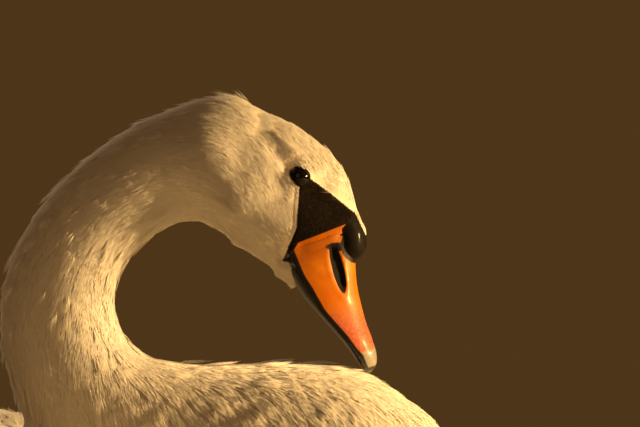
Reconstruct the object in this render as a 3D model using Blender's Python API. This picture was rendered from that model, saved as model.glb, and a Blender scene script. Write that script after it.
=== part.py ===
"""Mute swan, life size, sitting on its belly with its neck folded back and its bill at its breast.

The bird faces +X and its left side is +Y. The origin is under the middle of the body, on the floor.
Tables of sections are in millimetres; MM turns them into metres. Every outline is the plumage's own.
"""

import math

import bmesh
import bpy
from mathutils import Vector

MM = 0.001

# Driving dimensions, in metres
GAP = 0.0004  # free space between neighbouring pieces
FLOOR = 0.0  # level on which the belly and the feet rest
EYE_RADIUS = 0.0068
EYE_PLACE = (0.3032, 0.0178, 0.4566)
KNOB_PLACE = (0.3325, 0.0, 0.4245)
KNOB_RADII = (0.0085, 0.0088, 0.0135)  # out from the forehead, across, along the bill
BILL_TILT = math.radians(23)  # lean of the bill forward from straight down
SHANK_RADIUS = 0.0078
TOE_RADIUS = 0.0052
WEB_THICKNESS = 0.0026
WEB_LEVEL = 0.0010
FOOT_SPOT = (-0.016, 0.096)  # where the toes spring from, on the bird's left

ROUND_SIDES = 20  # points round a section of the head and neck
BODY_SIDES = 30  # points round a section of the trunk
BILL_SIDES = 16

# Head and neck, from the face back and down: back edge x, z, throat edge x, z, and half the width
NECK_SECTIONS = (
    (338, 430, 292, 404, 16.5),
    (334, 447, 284, 410, 19.0),
    (328, 462, 276, 415, 22.0),
    (316, 475, 269, 419, 25.0),
    (301, 486, 264, 423, 27.5),
    (285, 493, 257, 428, 28.5),
    (270, 501, 251, 431, 28.5),
    (254, 500, 244, 431, 28.5),
    (236, 494, 238, 430, 28.5),
    (219, 487, 232, 427, 28.5),
    (201, 476, 224, 421, 28.5),
    (177, 456, 215, 412, 28.5),
    (158, 431, 210, 402, 29.5),
    (146, 402, 208, 391, 31.0),
    (144, 375, 210, 381, 33.0),
    (149, 348, 214, 372, 36.0),
    (162, 320, 221, 365, 40.0),
    (189, 296, 232, 362, 45.0),
    (226, 276, 248, 360, 51.0),
    (262, 252, 273, 360, 60.0),
    (298, 228, 302, 361, 69.0),
    (336, 228, 334, 357, 69.0),
    (366, 238, 361, 342, 58.0),
    (383, 253, 377, 328, 42.0),
    (392, 273, 387, 309, 20.0),
)
HEAD_END, UPPER_END, MIDDLE_END = 7, 11, 16  # the sections where the nodes meet
CROWN_PINCH = 0.18  # how much narrower the head is at the crown than an oval
BELLY_FULLNESS = 0.86  # under 1 the lower half of the trunk is fuller than an oval

# The feathered wedge of chin between the branches of the lower bill
CHIN_SECTIONS = (
    (300, 412, 286, 404, 12.0),
    (300, 405, 290, 400, 8.0),
    (302, 399, 297, 396, 5.0),
    (305, 394, 303, 393, 1.6),
)

# Upper bill: culmen x, z, edge of the mouth x, z, and half the width
UPPER_BILL_SECTIONS = (
    (336, 428, 298, 413, 15.5),
    (333, 412, 305, 407, 16.5),
    (334, 400, 311, 398, 16.5),
    (336, 390, 317, 387, 16.0),
    (339, 379, 325, 378, 15.8),
    (342, 371, 331, 370, 15.0),
    (344, 364, 337, 363, 12.5),
    (345, 357, 340, 356, 7.5),
    (344.5, 354, 342, 353.5, 3.5),
)
NAIL_START = 6  # the section where the hard nail begins

# Lower bill: edge of the mouth x, z, underside x, z, and half the width
LOWER_BILL_SECTIONS = (
    (297, 412, 291, 406, 15.0),
    (304, 406, 299, 401, 15.8),
    (310, 397, 305, 393, 15.6),
    (316, 386, 312, 384, 15.0),
    (324, 377, 320, 375, 14.4),
    (330, 369, 327, 367, 13.0),
    (336, 362, 333, 359, 10.5),
    (339, 357, 337, 355, 6.0),
)

# Trunk without the wings, from the breast to the rump: x, top, bottom, half the width and pinch
TRUNK_SECTIONS = (
    (410, 205, 188, 8, 0.0),
    (405, 245, 146, 40, 0.1),
    (390, 289, 98, 76, 0.3),
    (350, 330, 50, 110, 0.45),
    (295, 340, 16, 134, 0.48),
    (228, 332, -3, 148, 0.42),
    (155, 320, -9, 156, 0.36),
    (75, 312, -10, 158, 0.33),
    (-5, 304, -10, 155, 0.31),
    (-85, 288, -5, 144, 0.29),
    (-150, 265, 11, 125, 0.25),
    (-205, 238, 43, 101, 0.2),
    (-246, 211, 78, 79, 0.1),
    (-272, 195, 104, 65, 0.0),
)

# Tail, from its root to its pointed end: x, top, bottom, half the width and pinch
TAIL_SECTIONS = (
    (-272, 195, 104, 65, 0.0),
    (-300, 187, 122, 71, 0.0),
    (-335, 181, 141, 71, 0.0),
    (-370, 178, 156, 55, 0.0),
    (-396, 177, 167, 31, 0.0),
    (-410, 177, 171, 8, 0.0),
)

# Folded wing, from the wrist back: x, centre y, centre z, half the breadth, half the height
WING_SECTIONS = (
    (274, 122, 192, 5, 11),
    (266, 121, 195, 21, 38),
    (243, 118, 202, 38, 70),
    (205, 112, 211, 54, 98),
    (160, 106, 217, 64, 112),
    (100, 101, 220, 71, 119),
    (30, 95, 222, 76, 119),
    (-50, 86, 225, 78, 110),
    (-120, 75, 228, 70, 91),
    (-180, 62, 229, 58, 69),
    (-230, 50, 228, 44, 48),
    (-272, 38, 226, 29, 29),
    (-306, 27, 223, 11, 11),
)
ARM_END = 7  # the section where the coverts give way to the long feathers
SECONDARIES_END = 10  # the section where the secondaries end
TERTIAL_LINE = 0.2150  # height of the lower edge of the tertials

# Bundle of primaries behind the secondaries: x, centre y, centre z, half the breadth, half the height
PRIMARY_SECTIONS = (
    (-230, 58, 197, 31, 18),
    (-268, 47, 200, 28, 13),
    (-308, 33, 203, 22, 9),
    (-348, 19, 206, 14, 6),
    (-376, 9, 208, 6, 3),
)

# Leg on the left: the shin comes down out of the belly to the ankle, and the shank lies on the floor
LEG_LINE = (
    (-66, 80, 62, 1.25),
    (-104, 86, 38, 1.15),
    (-128, 91, 15, 1.35),
    (-108, 93, 9, 1.05),
    (-62, 95, 8, 1.0),
    (-16, 96, 8, 1.1),
)
# Toes on the left: name, direction away from the middle line in degrees, and length
TOES = (
    ("inner", -9, 0.104),
    ("middle", 4, 0.140),
    ("outer", 17, 0.126),
)
CLAW_LENGTH = 0.013
FOOT_HOLLOW_PLACE = (0.050, 0.106, 0.0)  # centre of the hollow over the left foot
FOOT_HOLLOW_RADII = (0.125, 0.058, 0.019)
TOE_SPACING = 0.0035  # between the toes where they spring from the foot
# Thickness of a toe along its length, as shares, swelling at each joint
TOE_JOINTS = ((0.0, 1.3), (0.12, 1.1), (0.36, 1.18), (0.5, 0.95), (0.7, 1.05), (0.86, 0.85), (1.0, 0.62))

COLOURS = {
    "plumage": ((0.84, 0.80, 0.71), 0.75),
    "orange_bill": ((0.78, 0.26, 0.04), 0.35),
    "black_bill": ((0.025, 0.022, 0.020), 0.40),
    "bill_nail": ((0.45, 0.36, 0.25), 0.35),
    "eye": ((0.012, 0.009, 0.008), 0.06),
    "leg_skin": ((0.045, 0.045, 0.045), 0.60),
    "claw": ((0.03, 0.028, 0.026), 0.35),
}


def clear_scene():
    for thing in list(bpy.data.objects):
        bpy.data.objects.remove(thing)


def new_collection(name):
    collection = bpy.data.collections.new(name)
    bpy.context.scene.collection.children.link(collection)
    return collection


def new_material(name):
    (red, green, blue), roughness = COLOURS[name]
    material = bpy.data.materials.new(name)
    material.use_nodes = True
    shader = material.node_tree.nodes["Principled BSDF"]
    shader.inputs["Base Color"].default_value = (red, green, blue, 1.0)
    shader.inputs["Roughness"].default_value = roughness
    shader.inputs["Metallic"].default_value = 0.0
    return material


clear_scene()
SWAN = new_collection("mute_swan")
CUTTERS = new_collection("cutters")
MATERIALS = {name: new_material(name) for name in COLOURS}


def place_object(name, mesh, material):
    """A finished piece, in the swan's own collection."""
    piece = bpy.data.objects.new(name, mesh)
    piece.data.materials.append(MATERIALS[material])
    SWAN.objects.link(piece)
    return piece


def place_cutter(name, mesh):
    """A shape that only cuts others, and isn't part of the bird."""
    cutter = bpy.data.objects.new(name, mesh)
    cutter.hide_render = True
    cutter.display_type = "WIRE"
    CUTTERS.objects.link(cutter)
    return cutter


def boolean(piece, cutter, operation="DIFFERENCE"):
    modifier = piece.modifiers.new(cutter.name, "BOOLEAN")
    modifier.operation = operation
    modifier.solver = "EXACT"
    modifier.object = cutter


# Sections: each is a centre, an arm up to its back edge, an arm out to its side, and its pinch,
# which is how much narrower than an oval it is at the top


def upright_section(row, pinch=0.0):
    """A section from its back edge and its throat edge in the bird's middle plane."""
    back = Vector((row[0], 0, row[1])) * MM
    throat = Vector((row[2], 0, row[3])) * MM
    return (back + throat) / 2, (back - throat) / 2, Vector((0, row[4] * MM, 0)), pinch


def neck_section(row):
    """A section of the head or neck. The head's pinch fades out where the neck begins."""
    place = NECK_SECTIONS.index(row)
    return upright_section(row, CROWN_PINCH * max(0.0, 1 - place / HEAD_END))


def body_section(row):
    """A section square to X from its x, top, bottom, half width and pinch."""
    x, top, bottom, half_width, pinch = row
    return upright_section((x, top, x, bottom, half_width), pinch)


def wing_section(row, side):
    """A section of a wing on the left, side 1, or on the right, side -1."""
    x, y, z, half_y, half_z = (value * MM for value in row)
    return Vector((x, side * y, z)), Vector((0, 0, half_z)), Vector((0, half_y, 0)), 0.0


def between(a, b, c, d, t):
    """Smooth passage from b to c, leaving b and reaching c as the neighbours a and d ask."""
    return 0.5 * (
        2 * b
        + (c - a) * t
        + (2 * a - 5 * b + 4 * c - d) * t**2
        + (3 * b - a - 3 * c + d) * t**3
    )


def refine(sections, steps):
    """The same run of sections with extra ones eased in between."""
    fine = []
    last = len(sections) - 1
    for i in range(last):
        near = [sections[min(max(i + k, 0), last)] for k in (-1, 0, 1, 2)]
        for step in range(steps):
            parts = zip(*near)
            fine.append(tuple(between(*arms, step / steps) for arms in parts))
    return fine + [sections[-1]]


def slid(run, end, distance):
    """Slides the first (0) or last (-1) section along its own axis, into the run if positive."""
    centre, up, out, pinch = run[end]
    inward = run[1 if end == 0 else -2][0] - centre
    axis = out.cross(up).normalized()
    if axis.dot(inward) < 0:
        axis = -axis
    run[end] = (centre + axis * distance, up, out, pinch)


def spread(sections, gap=GAP):
    """The run grown by the gap all round and at both ends, as a space for its neighbours to keep."""
    run = []
    for centre, up, out, pinch in sections:
        run.append((centre, up + up.normalized() * gap, out + out.normalized() * gap, pinch))
    slid(run, 0, -gap)
    slid(run, -1, -gap)
    return run


# Outlines of a section: share of the upward arm and of the sideways arm at each angle


def oval(angle, pinch):
    rise = math.cos(angle)
    return rise, math.sin(angle) * (1 - pinch * max(0.0, rise))


def broad_belly(angle, pinch):
    """An oval that is fuller below, as a resting bird's body is."""
    rise, reach = oval(angle, pinch)
    if rise < 0:
        rise = -(abs(rise) ** BELLY_FULLNESS)
        reach = math.copysign(abs(reach) ** BELLY_FULLNESS, reach)
    return rise, reach


def upper_half(angle, _):
    """A vault on a flat floor, as the upper bill has."""
    return 2 * max(math.cos(angle), 0.0) - 1, math.sin(angle)


def lower_half(angle, _):
    """A keel under a flat deck, as the lower bill has."""
    return 1 - 2 * max(-math.cos(angle), 0.0), math.sin(angle)


def loft_mesh(name, sections, sides, outline=oval):
    """A closed skin over a run of sections, with flat ends."""
    bm = bmesh.new()
    rings = []
    for centre, up, out, pinch in sections:
        ring = []
        for k in range(sides):
            rise, reach = outline(2 * math.pi * k / sides, pinch)
            ring.append(bm.verts.new(centre + up * rise + out * reach))
        rings.append(ring)
    for front, back in zip(rings, rings[1:]):
        for k in range(sides):
            after = (k + 1) % sides
            bm.faces.new((front[k], front[after], back[after], back[k]))
    bm.faces.new(rings[0])
    bm.faces.new(rings[-1])
    bmesh.ops.recalc_face_normals(bm, faces=bm.faces)
    mesh = bpy.data.meshes.new(name)
    bm.to_mesh(mesh)
    bm.free()
    return mesh


def with_gaps(sections, front=True, back=True):
    """The run with its end sections drawn in by half a gap each."""
    run = list(sections)
    if front:
        slid(run, 0, GAP / 2)
    if back:
        slid(run, -1, GAP / 2)
    return run


def lay_flat(mesh):
    """What would lie under the floor is pressed flat on it."""
    for vertex in mesh.vertices:
        vertex.co.z = max(vertex.co.z, FLOOR)


def shade(piece, degrees=40):
    piece.data.shade_smooth()
    piece.data.set_sharp_from_angle(angle=math.radians(degrees))


# Shapes that several pieces are cut by

neck_run = refine([neck_section(row) for row in NECK_SECTIONS], 2)
trunk_run = refine([body_section(row) for row in TRUNK_SECTIONS], 2)


def trunk_cutter():
    """The trunk with room added all round, so that its neighbours stand clear of its steep front."""
    run = spread(trunk_run, 2 * GAP)
    return place_cutter("trunk_space", loft_mesh("trunk_space", run, BODY_SIDES, broad_belly))


def ellipsoid_mesh(name, place, radii, tilt=0.0, segments=14):
    bm = bmesh.new()
    bmesh.ops.create_uvsphere(bm, u_segments=segments, v_segments=segments // 2 + 2, radius=1.0)
    bmesh.ops.scale(bm, vec=radii, verts=bm.verts)
    turn = Vector((0, 0, 1)).rotation_difference(Vector((-math.sin(tilt), 0, math.cos(tilt))))
    bmesh.ops.rotate(bm, cent=(0, 0, 0), matrix=turn.to_matrix(), verts=bm.verts)
    bmesh.ops.translate(bm, vec=place, verts=bm.verts)
    mesh = bpy.data.meshes.new(name)
    bm.to_mesh(mesh)
    bm.free()
    return mesh


def box_cutter(name, low, high):
    bm = bmesh.new()
    bmesh.ops.create_cube(bm, size=1.0)
    low, high = Vector(low), Vector(high)
    bmesh.ops.scale(bm, vec=high - low, verts=bm.verts)
    bmesh.ops.translate(bm, vec=(low + high) / 2, verts=bm.verts)
    mesh = bpy.data.meshes.new(name)
    bm.to_mesh(mesh)
    bm.free()
    return place_cutter(name, mesh)


# The head


def make_knob():
    """The black fleshy knob over the root of the bill."""
    mesh = ellipsoid_mesh("bill_knob", KNOB_PLACE, KNOB_RADII, BILL_TILT)
    knob = place_object("bill_knob", mesh, "black_bill")
    shade(knob)
    space = [radius + GAP for radius in KNOB_RADII]
    return place_cutter("knob_space", ellipsoid_mesh("knob_space", KNOB_PLACE, space, BILL_TILT))


def make_eyes():
    """Two eyes, and the sockets that the head is cut by."""
    sockets = []
    for side, name in ((1, "L"), (-1, "R")):
        x, y, z = EYE_PLACE
        place = (x, side * y, z)
        mesh = ellipsoid_mesh("eye_" + name, place, (EYE_RADIUS,) * 3)
        shade(place_object("eye_" + name, mesh, "eye"))
        hole = (EYE_RADIUS + GAP,) * 3
        socket = "socket_" + name
        sockets.append(place_cutter(socket, ellipsoid_mesh(socket, place, hole)))
    return sockets


def make_bill(knob_space):
    """Upper bill, its nail, and the lower bill under them."""
    upper = [upright_section(row) for row in UPPER_BILL_SECTIONS]
    rows = (
        ("bill_upper", with_gaps(upper[: NAIL_START + 1]), upper_half, "orange_bill"),
        ("bill_nail", with_gaps(upper[NAIL_START:], back=False), upper_half, "bill_nail"),
    )
    for name, run, outline, material in rows:
        piece = place_object(name, loft_mesh(name, run, BILL_SIDES, outline), material)
        shade(piece, 50)
        if name == "bill_upper":
            boolean(piece, knob_space)
    lower = [upright_section(row) for row in LOWER_BILL_SECTIONS]
    mesh = loft_mesh("bill_lower", with_gaps(lower, back=False), BILL_SIDES, lower_half)
    shade(place_object("bill_lower", mesh, "black_bill"), 50)
    spaces = []
    for name, run, outline in (("upper_bill_space", upper, upper_half), ("lower_bill_space", lower, lower_half)):
        spaces.append(place_cutter(name, loft_mesh(name, spread(run), BILL_SIDES, outline)))
    return spaces


def make_head(cutters):
    run = with_gaps(neck_run[: 2 * HEAD_END + 1], front=False)
    head = place_object("head", loft_mesh("head", run, ROUND_SIDES), "plumage")
    chin = [upright_section(row) for row in CHIN_SECTIONS]
    wedge = place_cutter("chin_wedge", loft_mesh("chin_wedge", chin, 12))
    boolean(head, wedge, "UNION")
    for cutter in cutters:
        boolean(head, cutter)
    shade(head)


def make_neck(trunk_space, bill_spaces):
    """Three lengths of neck, parted square to its own line; the bill's tip dents the lowest."""
    cuts = (2 * HEAD_END, 2 * UPPER_END, 2 * MIDDLE_END, len(neck_run) - 1)
    for name, start, end in zip(("neck_upper", "neck_middle", "neck_lower"), cuts, cuts[1:]):
        last = name == "neck_lower"
        run = with_gaps(neck_run[start : end + 1], back=not last)
        piece = place_object(name, loft_mesh(name, run, ROUND_SIDES), "plumage")
        if name != "neck_upper":
            boolean(piece, trunk_space)
        if last:
            for cutter in bill_spaces:
                boolean(piece, cutter)
        shade(piece)


# The body


def make_trunk():
    """The body from breast to rump, with a hollow in the belly feathers over each foot."""
    mesh = loft_mesh("trunk", with_gaps(trunk_run, front=False), BODY_SIDES, broad_belly)
    lay_flat(mesh)
    trunk = place_object("trunk", mesh, "plumage")
    for side, letter in ((1, "L"), (-1, "R")):
        x, y, z = FOOT_HOLLOW_PLACE
        hollow = ellipsoid_mesh("hollow", (x, side * y, z), FOOT_HOLLOW_RADII)
        boolean(trunk, place_cutter("foot_hollow_" + letter, hollow))
    shade(trunk)


def make_tail():
    run = refine([body_section(row) for row in TAIL_SECTIONS], 2)
    mesh = loft_mesh("tail", with_gaps(run, back=False), ROUND_SIDES)
    shade(place_object("tail", mesh, "plumage"))


def make_wings(trunk_space):
    """Each folded wing: the covert-clad arm, the tertials over the secondaries, and the primaries."""
    reach = 0.5
    above = box_cutter("above_tertial_line", (-reach, -reach, TERTIAL_LINE - GAP / 2), (reach, reach, reach))
    below = box_cutter("below_tertial_line", (-reach, -reach, -reach), (reach, reach, TERTIAL_LINE + GAP / 2))
    for side, letter in ((1, "L"), (-1, "R")):
        run = refine([wing_section(row, side) for row in WING_SECTIONS], 2)
        primaries = [wing_section(row, side) for row in PRIMARY_SECTIONS]
        arm, secondaries = 2 * ARM_END, 2 * SECONDARIES_END
        parts = (
            ("arm", with_gaps(run[: arm + 1], front=False), None),
            ("tertials", with_gaps(run[arm:], back=False), below),
            ("secondaries", with_gaps(run[arm : secondaries + 1]), above),
            ("primaries", with_gaps(primaries, back=False), above),
        )
        for part, sections, cutter in parts:
            name = f"wing_{letter}_{part}"
            piece = place_object(name, loft_mesh(name, sections, ROUND_SIDES), "plumage")
            boolean(piece, trunk_space)
            if cutter:
                boolean(piece, cutter)
            shade(piece)


# The legs


def tube_mesh(name, line, radius, roundness=2):
    """A round tube along a line of (x, y, z, share of the radius), as a welded mesh."""
    curve = bpy.data.curves.new(name, "CURVE")
    curve.dimensions = "3D"
    curve.bevel_depth = radius
    curve.bevel_resolution = roundness
    curve.use_fill_caps = True
    spline = curve.splines.new("POLY")
    spline.points.add(len(line) - 1)
    for point, (x, y, z, share) in zip(spline.points, line):
        point.co = (x, y, z, 1.0)
        point.radius = share
    holder = bpy.data.objects.new(name, curve)
    CUTTERS.objects.link(holder)
    evaluated = holder.evaluated_get(bpy.context.evaluated_depsgraph_get())
    mesh = bpy.data.meshes.new_from_object(evaluated)
    bpy.data.objects.remove(holder)
    bm = bmesh.new()
    bm.from_mesh(mesh)
    bmesh.ops.remove_doubles(bm, verts=bm.verts, dist=0.00001)
    bmesh.ops.recalc_face_normals(bm, faces=bm.faces)
    bm.to_mesh(mesh)
    bm.free()
    return mesh


def smooth_line(points, steps):
    """Extra points eased in along a line of points."""
    fine = []
    last = len(points) - 1
    for i in range(last):
        near = [points[min(max(i + k, 0), last)] for k in (-1, 0, 1, 2)]
        for step in range(steps):
            fine.append(tuple(between(*values, step / steps) for values in zip(*near)))
    return fine + [points[-1]]


def toe_direction(angle, side):
    turn = math.radians(angle)
    return Vector((math.cos(turn), side * math.sin(turn), 0))


def make_web(side):
    """A thin sheet of skin from the foot's root, with a hollow edge between each two toes."""
    root = Vector((FOOT_SPOT[0] + 0.004, side * FOOT_SPOT[1], WEB_LEVEL))
    rim = []
    for (_, first, long), (_, second, short) in zip(TOES, TOES[1:]):
        middle = (first + second) / 2
        hollow = 0.84 * min(long, short)
        rim.append(root + toe_direction(first, side) * long * 0.95)
        rim.append(root + toe_direction(middle, side) * hollow)
    rim.append(root + toe_direction(TOES[-1][1], side) * TOES[-1][2] * 0.95)
    bm = bmesh.new()
    face = bm.faces.new([bm.verts.new(point) for point in [root] + rim])
    lifted = bmesh.ops.extrude_face_region(bm, geom=[face])
    corners = [g for g in lifted["geom"] if isinstance(g, bmesh.types.BMVert)]
    bmesh.ops.translate(bm, vec=(0, 0, WEB_THICKNESS), verts=corners)
    bmesh.ops.recalc_face_normals(bm, faces=bm.faces)
    mesh = bpy.data.meshes.new("web")
    bm.to_mesh(mesh)
    bm.free()
    return mesh


def make_foot(side, letter, cutters):
    """Three webbed toes joined into one foot, with a claw before each."""
    foot = place_object("foot_" + letter, make_web(side), "leg_skin")
    for number, (name, angle, length) in enumerate(TOES):
        ahead = toe_direction(angle, side)
        across = side * (FOOT_SPOT[1] + TOE_SPACING * (number - 1))
        root = Vector((FOOT_SPOT[0], across, TOE_RADIUS * 0.9))
        line = [(*(root + ahead * length * share), thick) for share, thick in TOE_JOINTS]
        toe = place_cutter(f"toe_{letter}_{name}", tube_mesh("toe", line, TOE_RADIUS, 1))
        boolean(foot, toe, "UNION")
        start = root + ahead * (length + GAP)
        start.z = TOE_RADIUS * 0.55
        tip = start + ahead * CLAW_LENGTH
        claw = [(*start, 0.55), (*(start * 0.45 + tip * 0.55 + Vector((0, 0, 0.0006))), 0.42), (*tip, 0.12)]
        mesh = tube_mesh("claw", claw, TOE_RADIUS, 1)
        lay_flat(mesh)
        shade(place_object(f"claw_{letter}_{name}", mesh, "claw"))
    for cutter in cutters:
        boolean(foot, cutter)
    shade(foot)


def make_legs(trunk_space):
    under_floor = box_cutter("under_floor", (-0.5, -0.5, -0.1), (0.5, 0.5, FLOOR))
    for side, letter in ((1, "L"), (-1, "R")):
        line = [(x * MM, side * y * MM, z * MM, share) for x, y, z, share in smooth_line(LEG_LINE, 2)]
        name = "leg_" + letter
        mesh = tube_mesh(name, line, SHANK_RADIUS)
        lay_flat(mesh)
        leg = place_object(name, mesh, "leg_skin")
        boolean(leg, trunk_space)
        shade(leg)
        space = tube_mesh("shank_space", line, SHANK_RADIUS + GAP)
        make_foot(side, letter, (place_cutter("shank_space_" + letter, space), under_floor))


trunk_space = trunk_cutter()
knob_space = make_knob()
sockets = make_eyes()
bill_spaces = make_bill(knob_space)
make_head([knob_space, *sockets, *bill_spaces])
make_neck(trunk_space, bill_spaces)
make_trunk()
make_tail()
make_wings(trunk_space)
make_legs(trunk_space)
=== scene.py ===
# %% [markdown]
# # A mute swan at rest, from the skin outwards
# A swan sits on its belly with its neck folded back and its bill held down at the breast. Its shape is
# flesh, but nearly all that is seen of it is feather. So this script makes the bird as it grows: a
# smooth skin first, then a coat of small solid feathers that follow the lie of the plumage, and last the
# hard parts, which are the bill, the eyes, the legs and the claws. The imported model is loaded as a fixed
# frame, and every place and size here is read from it or counted from it.

# %% Load the frame
import math

import bmesh
import bpy
import numpy as np
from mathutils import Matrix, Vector
from mathutils.bvhtree import BVHTree
from mathutils.kdtree import KDTree


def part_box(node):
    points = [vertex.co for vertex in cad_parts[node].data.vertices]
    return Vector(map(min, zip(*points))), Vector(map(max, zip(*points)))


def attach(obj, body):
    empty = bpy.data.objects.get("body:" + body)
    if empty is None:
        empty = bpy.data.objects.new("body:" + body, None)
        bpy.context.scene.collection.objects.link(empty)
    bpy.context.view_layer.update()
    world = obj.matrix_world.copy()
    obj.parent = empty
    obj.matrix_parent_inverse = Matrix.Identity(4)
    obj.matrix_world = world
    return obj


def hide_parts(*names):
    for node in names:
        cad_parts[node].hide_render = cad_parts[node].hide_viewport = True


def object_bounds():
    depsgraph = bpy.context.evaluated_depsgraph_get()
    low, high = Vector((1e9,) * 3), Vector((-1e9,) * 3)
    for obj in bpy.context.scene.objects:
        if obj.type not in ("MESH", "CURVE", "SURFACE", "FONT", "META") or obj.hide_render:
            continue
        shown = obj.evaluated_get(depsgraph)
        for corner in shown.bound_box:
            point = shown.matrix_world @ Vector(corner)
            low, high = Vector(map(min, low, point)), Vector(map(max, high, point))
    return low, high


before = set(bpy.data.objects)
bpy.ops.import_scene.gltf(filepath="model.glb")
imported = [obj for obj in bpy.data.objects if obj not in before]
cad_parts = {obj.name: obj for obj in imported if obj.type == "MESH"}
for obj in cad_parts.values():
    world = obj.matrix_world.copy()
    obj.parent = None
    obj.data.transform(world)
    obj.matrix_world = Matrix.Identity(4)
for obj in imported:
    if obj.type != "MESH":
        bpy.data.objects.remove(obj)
cad_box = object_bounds()
MM = 0.001
chance = np.random.default_rng(11)
print("bird's box in metres:", [round(side, 3) for side in cad_box[1] - cad_box[0]])

# %% [markdown]
# ## Camera, floor and light
# The view is a long-lens one, level with the head, that takes in the head, the fold of the neck and the
# top of the breast. A long lens far away keeps the two sides of the bird parallel. The places are
# counted from the eye, which is the point that a viewer looks at first.


# %% Camera
def new_object(name, data):
    """An object that puts the data into the scene."""
    made = bpy.data.objects.new(name, data)
    bpy.context.collection.objects.link(made)
    return made


EYE_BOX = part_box("eye_R")
EYE_PLACE = (EYE_BOX[0] + EYE_BOX[1]) / 2
VIEW_SHIFT = (11.3, -19.6)  # from the eye to the view's middle x, z, in millimetres
VIEW_CENTRE = Vector((EYE_PLACE.x + VIEW_SHIFT[0] * MM, 0.0, EYE_PLACE.z + VIEW_SHIFT[1] * MM))
VIEW_WIDTH = 0.339
CAMERA_DISTANCE = 4.0

camera_data = bpy.data.cameras.new("camera")
camera_data.sensor_width = 36.0
camera_data.lens = camera_data.sensor_width * CAMERA_DISTANCE / VIEW_WIDTH
camera_data.clip_end = 50.0
camera = new_object("camera", camera_data)
camera.location = VIEW_CENTRE + Vector((0, -CAMERA_DISTANCE, 0))
camera.rotation_euler = (math.radians(90), 0, 0)
bpy.context.scene.camera = camera
print("lens in millimetres:", round(camera_data.lens))

# %% [markdown]
# The floor is a plain pale sheet. Three panels stand for the studio's lamps: a small one low before the
# bill, which rakes over the feathers and brings out their relief, a weak one on the viewer's side and one
# behind. All three are amber, as low sun is in the evening, so white plumage and the floor show warmer
# than they are. The room's own glow is a plain dark brown, so that pale plumage stands out.


# %% Floor
def mesh_of(bm, name):
    """A mesh from a finished bmesh, which is then freed."""
    mesh = bpy.data.meshes.new(name)
    bm.to_mesh(mesh)
    bm.free()
    return mesh


bm = bmesh.new()
bmesh.ops.create_grid(bm, x_segments=1, y_segments=1, size=2.5)
floor = new_object("floor", mesh_of(bm, "floor"))
floor_paint = bpy.data.materials.new("floor_paint")
floor_paint.use_nodes = True
paint = floor_paint.node_tree.nodes["Principled BSDF"].inputs
paint["Base Color"].default_value = (0.62, 0.59, 0.55, 1)
paint["Roughness"].default_value = 0.8
floor.data.materials.append(floor_paint)


# %% Lamps and the room's glow
LAMP_DISTANCE = 4.5


def place_lamp(name, direction, size, power, colour):
    """A square soft panel that shines on the head from the given direction."""
    light = bpy.data.lights.new(name, "AREA")
    light.shape = "SQUARE"
    light.size = size
    light.energy = power
    light.color = colour
    lamp = new_object(name, light)
    lamp.location = VIEW_CENTRE + Vector(direction).normalized() * LAMP_DISTANCE
    lamp.rotation_euler = Vector(direction).to_track_quat("Z", "Y").to_euler()


place_lamp("key_panel", (0.96, -0.135, 0.16), 0.50, 540, (1.0, 0.63, 0.25))
place_lamp("fill_panel", (-0.20, -0.90, 0.30), 3.0, 22, (1.0, 0.57, 0.27))
place_lamp("back_panel", (-0.45, 0.80, 0.55), 2.4, 34, (1.0, 0.74, 0.50))

world = bpy.data.worlds.new("room")
world.use_nodes = True
glow = world.node_tree.nodes["Background"].inputs
glow["Color"].default_value = (0.074, 0.036, 0.010, 1)
glow["Strength"].default_value = 1.0
bpy.context.scene.world = world
bpy.context.scene.view_settings.view_transform = "Standard"

# %% [markdown]
# ## Shader maths as plain sums
# A finish is easier to read as sums than as a web of nodes. `Sum` wraps one socket of a material's node
# tree, so that `1 - mask * 0.5` adds its own Math nodes, and `Finish` adds any other node with its
# settings first and its inputs after.


# %% Shader helpers
class Sum:
    """A socket of a material that can be added, multiplied and compared like a number."""

    def __init__(self, finish, socket):
        self.finish = finish
        self.socket = socket

    def maths(self, operation, first, second=0.0):
        return self.finish.node("ShaderNodeMath", {"operation": operation}, [first, second])

    def __add__(self, other):
        return self.maths("ADD", self, other)

    def __sub__(self, other):
        return self.maths("SUBTRACT", self, other)

    def __rsub__(self, other):
        return self.maths("SUBTRACT", other, self)

    def __mul__(self, other):
        return self.maths("MULTIPLY", self, other)

    __radd__ = __add__
    __rmul__ = __mul__

    def lower(self, other):
        return self.maths("MINIMUM", self, other)

    def higher(self, other):
        return self.maths("MAXIMUM", self, other)

    def sine(self):
        return self.maths("SINE", self)

    def root(self):
        return self.maths("SQRT", self)

    def ramp(self, low, high):
        """0 below low and 1 above high, eased in between. It falls instead where low is above high."""
        settings = {"interpolation_type": "SMOOTHSTEP", "clamp": True}
        values = {"Value": self, "From Min": low, "From Max": high, "To Min": 0.0, "To Max": 1.0}
        return self.finish.node("ShaderNodeMapRange", settings, values)


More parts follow.
